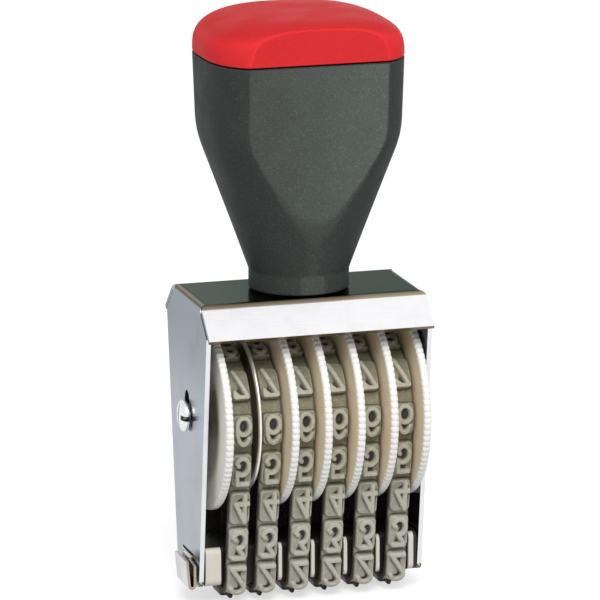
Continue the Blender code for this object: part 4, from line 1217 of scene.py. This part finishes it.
def foot_paint(settings):
    """Cream plastic with near-black painted shade between the two runs of the bands."""
    paint = moulded_plastic("foot_cream", settings.cream, 0.42, 0.0003, 0.000008, 0.10, 0.3)
    tree, place = opened(paint)
    along = maths(tree, "ABSOLUTE", split(tree, place)["Y"])
    # Painted shade over the foot's top and core between the runs
    recolour(paint, spread(tree, along, 0.0064, 0.0070, 1.0, 0.0), settings.painted_shade_tone)
    return paint


def guard_mesh():
    """The guard plate with its tongue, carried along Y, and its lower edge at the foot's core."""
    low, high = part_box("band_guard")
    round_top = 0.0006
    step = band_middle(2) + BAND_WIDTH / 2 + SEAT_GAP - 0.0004
    shoulder = AXLE_Z - math.sqrt(WHEEL_RADIUS**2 - low.y**2) - 0.0004
    quarter = math.pi / 2
    outline = np.concatenate(
        [
            [(low.x, FOOT_TOP - 0.0005), (high.x, FOOT_TOP - 0.0005)],
            arc_points((high.x - round_top, shoulder - round_top), round_top, 0, quarter, 6),
            [(step, shoulder)],
            arc_points((step - round_top, high.z - round_top), round_top, 0, quarter, 6),
            arc_points((low.x + round_top, high.z - round_top), round_top, quarter, 2 * quarter, 6),
        ]
    )
    rings = [np.insert(outline, 1, y, axis=1) for y in (low.y, high.y)]
    return tube_mesh("guard_plate", np.array(rings))


def bar_line():
    """The strip's middle line in XZ from the grip's tip to the hook, with its reach in Y."""
    near = HALF_WIDTH + SEAT_GAP + BAR_THICKNESS / 2
    fold, fold_z = 0.0005, 0.0039
    far, bend, half = near + 2 * fold, 0.0004, BAR_WIDTH / 2
    tip = np.array([(-far - 0.0004, fold_z + 0.0044)])
    turn = arc_points((-near - fold, fold_z), fold, math.pi, 2 * math.pi, 12)
    rise = np.array([(-near, BAR_Z - 2 * bend)])
    left = arc_points((-near + bend, BAR_Z - bend), bend, math.pi, math.pi / 2, 6)
    right = arc_points((near - bend, BAR_Z - bend), bend, math.pi / 2, 0, 6)
    hook = np.array([(near, BAR_Z - 0.0026)])
    line = np.concatenate([tip, turn, rise, left, right, hook])
    grip = len(tip) + len(turn) + len(rise)
    front = np.where(np.arange(len(line)) < grip, 0.0063, half)
    back = np.where(np.arange(len(line)) < grip + len(left) - 1, 0.0010, half)
    return line, front, back


def bar_mesh():
    """The middle line given its thickness to both sides and its width along Y."""
    line, front, back = bar_line()
    along = np.gradient(line, axis=0)
    along /= np.linalg.norm(along, axis=1, keepdims=True)
    across = np.stack([-along[:, 1], along[:, 0]], -1) * BAR_THICKNESS / 2
    top, under = line + across, line - across
    corners = [(top, -front), (top, back), (under, back), (under, -front)]
    rings = np.stack([np.stack([xz[:, 0], y, xz[:, 1]], -1) for xz, y in corners], 1)
    return tube_mesh("foot_strip", rings)


class BuildFoot(bpy.types.Operator):
    """Build the print foot and the folded bar through it"""

    bl_idname = "stamp.build_foot"
    bl_label = "Print foot"

    def execute(self, context):
        settings = context.scene.stamp_foot
        cream = foot_paint(settings)
        # Painted shade on the foot's right end, beside the right plate
        darken(cream, (0.0185, -0.009, 0.0), (0.0200, 0.009, 0.012), (0.015, 0.013, 0.011))
        foot = add_piece(foot_mesh(), [cream])
        half, thick = BAR_WIDTH / 2 + SEAT_GAP, BAR_THICKNESS / 2 + SEAT_GAP
        carve(foot, [block_mesh((-0.022, -half, BAR_Z - thick), (0.022, half, BAR_Z + thick))])
        soften(foot, settings.edge_round, 3)
        mount_piece(foot, STAMP, "cream_plastic", "print_foot")
        # The black guard plate stands in for the shade between the bands' runs
        black = moulded_plastic("guard_black", settings.painted_shade_tone, 0.6, 0.0003, 0.00001, 0.2, 0.15)
        guard = add_piece(guard_mesh(), [black])
        mount_piece(guard, STAMP, "charcoal_plastic", "band_guard")
        strip = plain_metal("strip_face", settings.strip, 0.30)
        edges = plain_metal("strip_edge", settings.cut_edge, 0.38)
        near = HALF_WIDTH + SEAT_GAP
        low, high = (-near - 0.00125, -0.007, 0.0030), (-near - 0.00045, 0.002, 0.0090)
        # Painted shade inside the bar's fold
        darken(strip, low, high, (0.035, 0.028, 0.022))
        bar = add_piece(bar_mesh(), [strip, edges])
        sides = np.empty(len(bar.data.polygons) * 3, np.float32)
        bar.data.polygons.foreach_get("normal", sides)
        is_edge = np.abs(sides.reshape(-1, 3)[:, 1]) > 0.9
        bar.data.polygons.foreach_set("material_index", is_edge.astype(np.int32))
        soften(bar, 0.00007)
        mount_piece(bar, STAMP, "plated_brass", "foot_bar")
        return {"FINISHED"}


# Handle


def eased_line(z, low_z, low, knee_z, knee, high_z, high, ease=0.0030):
    """Two straight tapers that meet at the knee, blended by a parabola to each side of it."""
    first = (knee - low) / (knee_z - low_z)
    second = (high - knee) / (high_z - knee_z)
    t = np.clip((z - knee_z) / ease, -1, 1)
    eased = knee + first * (z - knee_z) + (second - first) * ease * (t + 1) ** 2 / 4
    return np.where(z >= knee_z + ease, knee + second * (z - knee_z), eased)


def soft_min(first, second, width):
    """The lesser of two values, rounded where they are within the width of each other."""
    share = np.clip(0.5 + 0.5 * (second - first) / width, 0, 1)
    return second + (first - second) * share - width * share * (1 - share)


def head_rings(z, half_width, half_depth, power, inset, crease):
    """Levels of the handle: |x/a|^n + |y/b|^n = 1, with front and back cut flat.

    Each quarter has points along the flat, crowded at its corner, and then along the curve,
    and the flat meets the curve in a rounded crease.
    """
    z, a, b, n, inset = (np.asarray(v, float)[:, None] for v in np.broadcast_arrays(
        z, half_width, half_depth, power, inset
    ))
    a, b = a - inset, b - inset
    flat = PANEL_DEPTH + PANEL_SLOPE * (z - PARTING_Z) - inset
    corner = a * (1 - np.minimum(flat / b, 1.0) ** n) ** (1 / n)
    corner = np.maximum(corner, a / 12)
    flat_share = 1 - (1 - np.linspace(0, 1, 22, endpoint=False)) ** 1.8
    curve_share = np.linspace(0, 1, 34, endpoint=False) ** 1.5
    x_flat = corner * flat_share
    y_flat = b * (1 - np.minimum(x_flat / a, 1.0) ** n) ** (1 / n)
    angle = np.arccos(np.minimum((corner / a) ** (n / 2), 1.0)) * (1 - curve_share)
    x_curve = a * np.cos(angle) ** (2 / n)
    y_curve = b * np.sin(angle) ** (2 / n)
    x = np.concatenate([x_flat, x_curve], 1)
    y = soft_min(flat, np.concatenate([y_flat, y_curve], 1), crease)
    y = np.maximum(y, 0)
    zero = np.zeros_like(a)
    ring_x = [x, a, x[:, ::-1], -x[:, 1:], -a, -x[:, :0:-1]]
    ring_y = [-y, zero, y[:, ::-1], y[:, 1:], zero, -y[:, :0:-1]]
    ring_x, ring_y = np.concatenate(ring_x, 1), np.concatenate(ring_y, 1)
    return np.stack([ring_x, ring_y, np.broadcast_to(z, ring_x.shape)], -1)


def body_rings(z, inset, crease):
    """The handle body's outlines at an array of heights."""
    z = np.asarray(z, float)
    width = eased_line(z, NECK_TOP, NECK_RADIUS, KINK_Z, KINK_HALF_WIDTH, PARTING_Z, HEAD_HALF_WIDTH)
    depth = eased_line(z, NECK_TOP, NECK_RADIUS, KINK_Z, KINK_HALF_DEPTH, PARTING_Z, HEAD_HALF_DEPTH)
    width = np.where(z < NECK_TOP, NECK_RADIUS, width)
    depth = np.where(z < NECK_TOP, NECK_RADIUS, depth)
    power = 2.0 + np.clip((z - NECK_TOP) / (KINK_Z - NECK_TOP), 0, 1)
    return head_rings(z, width, depth, power, inset, crease)


def body_mesh(crease):
    """Rings from the screw's bore, round the neck, up the cone and head and into the pocket."""
    neck = body_rings([NECK_BOTTOM], 0.0, crease)[0]
    around = neck[:, :2] / NECK_RADIUS
    bore = [np.insert(around * 0.0022, 2, z, axis=1) for z in (NECK_BOTTOM + 0.016, NECK_BOTTOM)]
    turn = np.linspace(0, math.pi / 2, 5)
    start_z = NECK_BOTTOM + 0.0003 * (1 - np.cos(turn))
    start = body_rings(start_z, 0.0003 * (1 - np.sin(turn)), crease)
    walls = body_rings(
        np.concatenate(
            [
                np.linspace(NECK_BOTTOM + 0.0006, NECK_TOP, 8),
                np.linspace(NECK_TOP, PARTING_Z - 0.0002, 130)[1:],
            ]
        ),
        0.0,
        crease,
    )
    edge = body_rings(PARTING_Z - 0.0002 * (1 - np.sin(turn[1:])), 0.0002 * (1 - np.cos(turn[1:])), crease)
    pocket = head_rings([PARTING_Z, PARTING_Z - 0.0060], *PLUG_SIZE, HEAD_POWER, 0.0, crease)
    return tube_mesh("handle_grip", np.concatenate([np.array(bore), start, walls, edge, pocket]))


def cap_mesh(crease):
    """The plug, the underside, a short wall and the dome.

    At a share h of the dome's height the half width is a (1 - h^m)^(1/m), and the half depth
    the same with an m of its own.
    """
    seat = PARTING_Z + SEAT_GAP
    rings = [head_rings([seat - 0.0052, seat], *PLUG_SIZE, HEAD_POWER, 0.0003, crease)]
    turn = np.linspace(0, math.pi / 2, 5)
    rings.append(
        head_rings(
            seat + 0.0002 * (1 - np.cos(turn)),
            HEAD_HALF_WIDTH,
            HEAD_HALF_DEPTH,
            HEAD_POWER,
            0.0002 * (1 - np.sin(turn)),
            crease,
        )
    )
    h = np.sin(np.linspace(0, math.pi / 2, 90)[:-1]) ** (2 / 3.2)
    width = HEAD_HALF_WIDTH * (1 - h**2.95) ** (1 / 2.95)
    depth = HEAD_HALF_DEPTH * (1 - h**4.6) ** (1 / 4.6)
    rings.append(head_rings(seat + 0.0004 + 0.0070 * h, width, depth, HEAD_POWER, 0.0, crease))
    return tube_mesh("handle_top", np.concatenate(rings))


class BuildHandle(bpy.types.Operator):
    """Build the handle body and its cap"""

    bl_idname = "stamp.build_handle"
    bl_label = "Handle"

    def execute(self, context):
        settings = context.scene.stamp_handle
        charcoal = moulded_plastic("charcoal_grain", settings.charcoal, 0.55, 0.00028, 0.000060, 0.20, 0.05)
        # Painted shade on the body's sides and top, and a painted sheen along its panels
        painted_facet_shade(charcoal, (0.62, 0.74, 0.94), 0.38, 0.56, 0.5, 0.0670)
        body = add_piece(body_mesh(settings.crease), [charcoal], 40)
        mount_piece(body, STAMP, "charcoal_plastic", "handle_body")
        red = moulded_plastic("red_grain", settings.red, 0.45, 0.00026, 0.000034, 0.05, 0.02)
        # Painted highlight along the cap's creases, painted shade on its top and a painted sheen along its
        # panels
        painted_facet_shade(red, (0.90, 0.93, 0.93), 0.98, 1.12, 0.72, 0.0)
        cap = add_piece(cap_mesh(settings.crease), [red], 40)
        mount_piece(cap, STAMP, "red_plastic", "handle_cap")
        return {"FINISHED"}


# Stage


def seen_directly(tree):
    """1 for what the camera sees straight on, in a mirror or through glass, else 0."""
    path = add_node(tree, "ShaderNodeLightPath")
    total = path.outputs["Is Camera Ray"]
    for name in ("Is Glossy Ray", "Is Transmission Ray"):
        total = maths(tree, "MAXIMUM", total, path.outputs[name])
    return total


def floor_paint(settings):
    """A pale floor that keeps its shadow: half its white is lit and half is its own."""
    paint = bpy.data.materials.new("pale_floor")
    paint.use_nodes = True
    tree = paint.node_tree
    tree.nodes.clear()
    lit = add_node(tree, "ShaderNodeBsdfDiffuse", {"Color": rgba(tinted(settings.floor, 0.55))})
    strength = maths(tree, "MULTIPLY", seen_directly(tree), 0.62)
    own = add_node(tree, "ShaderNodeEmission", {"Strength": strength})
    both = add_node(tree, "ShaderNodeAddShader", {0: lit.outputs[0], 1: own.outputs[0]})
    out = add_node(tree, "ShaderNodeOutputMaterial")
    tree.links.new(both.outputs[0], out.inputs["Surface"])
    return paint


def set_world(strength):
    """Even pale light, with a white background for what is seen directly."""
    world = bpy.data.worlds.new("studio")
    bpy.context.scene.world = world
    world.use_nodes = True
    tree = world.node_tree
    background = tree.nodes["Background"]
    level = add_node(tree, "ShaderNodeMapRange", {"Value": seen_directly(tree), "To Min": strength})
    tree.links.new(level.outputs["Result"], background.inputs["Strength"])
    background.inputs["Color"].default_value = (1, 1, 1, 1)


def add_lamp(name, place, target, size, power):
    """A square area lamp that faces a point."""
    lamp = bpy.data.lights.new(name, "AREA")
    lamp.shape = "SQUARE"
    lamp.size = size
    lamp.energy = power
    holder = bpy.data.objects.new(name, lamp)
    holder.location = place
    holder.rotation_euler = (Vector(target) - Vector(place)).to_track_quat("-Z", "Y").to_euler()
    bpy.context.scene.collection.objects.link(holder)


def add_camera():
    """The photograph's camera, fitted to 55 points with the frame's width and the lens held."""
    turn, rise, roll = math.radians(16.5507), math.radians(13.2439), math.radians(0.18509)
    right = Vector((math.cos(turn), -math.sin(turn), 0))
    up = Vector((math.sin(turn) * math.sin(rise), math.cos(turn) * math.sin(rise), math.cos(rise)))
    across = right * math.cos(roll) - up * math.sin(roll)
    upright = right * math.sin(roll) + up * math.cos(roll)
    back = across.cross(upright)
    place = Vector((0, 0, FRAME_TOE)) + back * 0.8769 + across * 0.0000665 + upright * 0.046945
    lens = bpy.data.cameras.new("photo_camera")
    lens.lens = 300.567
    lens.sensor_width = 36
    lens.clip_start = 0.05
    lens.clip_end = 20
    camera = bpy.data.objects.new("photo_camera", lens)
    camera.matrix_world = Matrix((across, upright, back)).transposed().to_4x4()
    camera.location = place
    bpy.context.scene.collection.objects.link(camera)
    bpy.context.scene.camera = camera


class BuildStage(bpy.types.Operator):
    """Set the camera, the lamps and the pale floor"""

    bl_idname = "stamp.build_stage"
    bl_label = "Stage"

    def execute(self, context):
        settings = context.scene.stamp_stage
        add_camera()
        reach = np.linspace(-4, 4, 9)
        x, y = np.meshgrid(reach, reach, indexing="ij")
        points = np.stack([x, y, np.full_like(x, -0.00002)], -1).reshape(-1, 3)
        mesh = mesh_of("floor", points, grid_quads(9, 9)[:, ::-1])
        if mesh.polygons[0].normal.z < 0:
            mesh.flip_normals()
        floor = bpy.data.objects.new("floor", mesh)
        mesh.materials.append(floor_paint(settings))
        context.scene.collection.objects.link(floor)
        set_world(settings.sky)
        middle = (0, 0, 0.05)
        add_lamp("key", (-0.12, -0.65, 0.72), middle, 0.45, settings.key)
        add_lamp("fill", (0.60, -0.55, 0.35), middle, 0.50, settings.fill)
        context.scene.view_settings.view_transform = "Standard"
        return {"FINISHED"}


class STAMP_PT_pieces(bpy.types.Panel):
    """Buttons and settings of the stamp"""

    bl_label = "Number stamp"
    bl_space_type = "VIEW_3D"
    bl_region_type = "UI"
    bl_category = "Stamp"

    def draw(self, context):
        for operator, group in STEPS:
            self.layout.operator(operator.bl_idname)
            settings = getattr(context.scene, group)
            for name in settings.__annotations__:
                self.layout.prop(settings, name)


STEPS = (
    (BuildBands, "stamp_bands"),
    (BuildWheels, "stamp_wheels"),
    (BuildFrame, "stamp_frame"),
    (BuildFittings, "stamp_frame"),
    (BuildFoot, "stamp_foot"),
    (BuildHandle, "stamp_handle"),
    (BuildStage, "stamp_stage"),
)

GROUPS = {
    "stamp_bands": BandSettings,
    "stamp_wheels": WheelSettings,
    "stamp_frame": FrameSettings,
    "stamp_foot": FootSettings,
    "stamp_handle": HandleSettings,
    "stamp_stage": StageSettings,
}


def register():
    """Registers the settings, the operators and the panel."""
    for name, group in GROUPS.items():
        bpy.utils.register_class(group)
        setattr(bpy.types.Scene, name, bpy.props.PointerProperty(type=group))
    for operator, _ in STEPS:
        bpy.utils.register_class(operator)
    bpy.utils.register_class(STAMP_PT_pieces)


def unregister():
    """Removes what register added."""
    bpy.utils.unregister_class(STAMP_PT_pieces)
    for operator, _ in reversed(STEPS):
        bpy.utils.unregister_class(operator)
    for name, group in GROUPS.items():
        delattr(bpy.types.Scene, name)
        bpy.utils.unregister_class(group)


def main():
    """Runs every operator in order."""
    register()
    bpy.ops.stamp.build_bands()
    bpy.ops.stamp.build_wheels()
    bpy.ops.stamp.build_frame()
    bpy.ops.stamp.build_fittings()
    bpy.ops.stamp.build_foot()
    bpy.ops.stamp.build_handle()
    bpy.ops.stamp.build_stage()


if __name__ == "__main__":
    main()
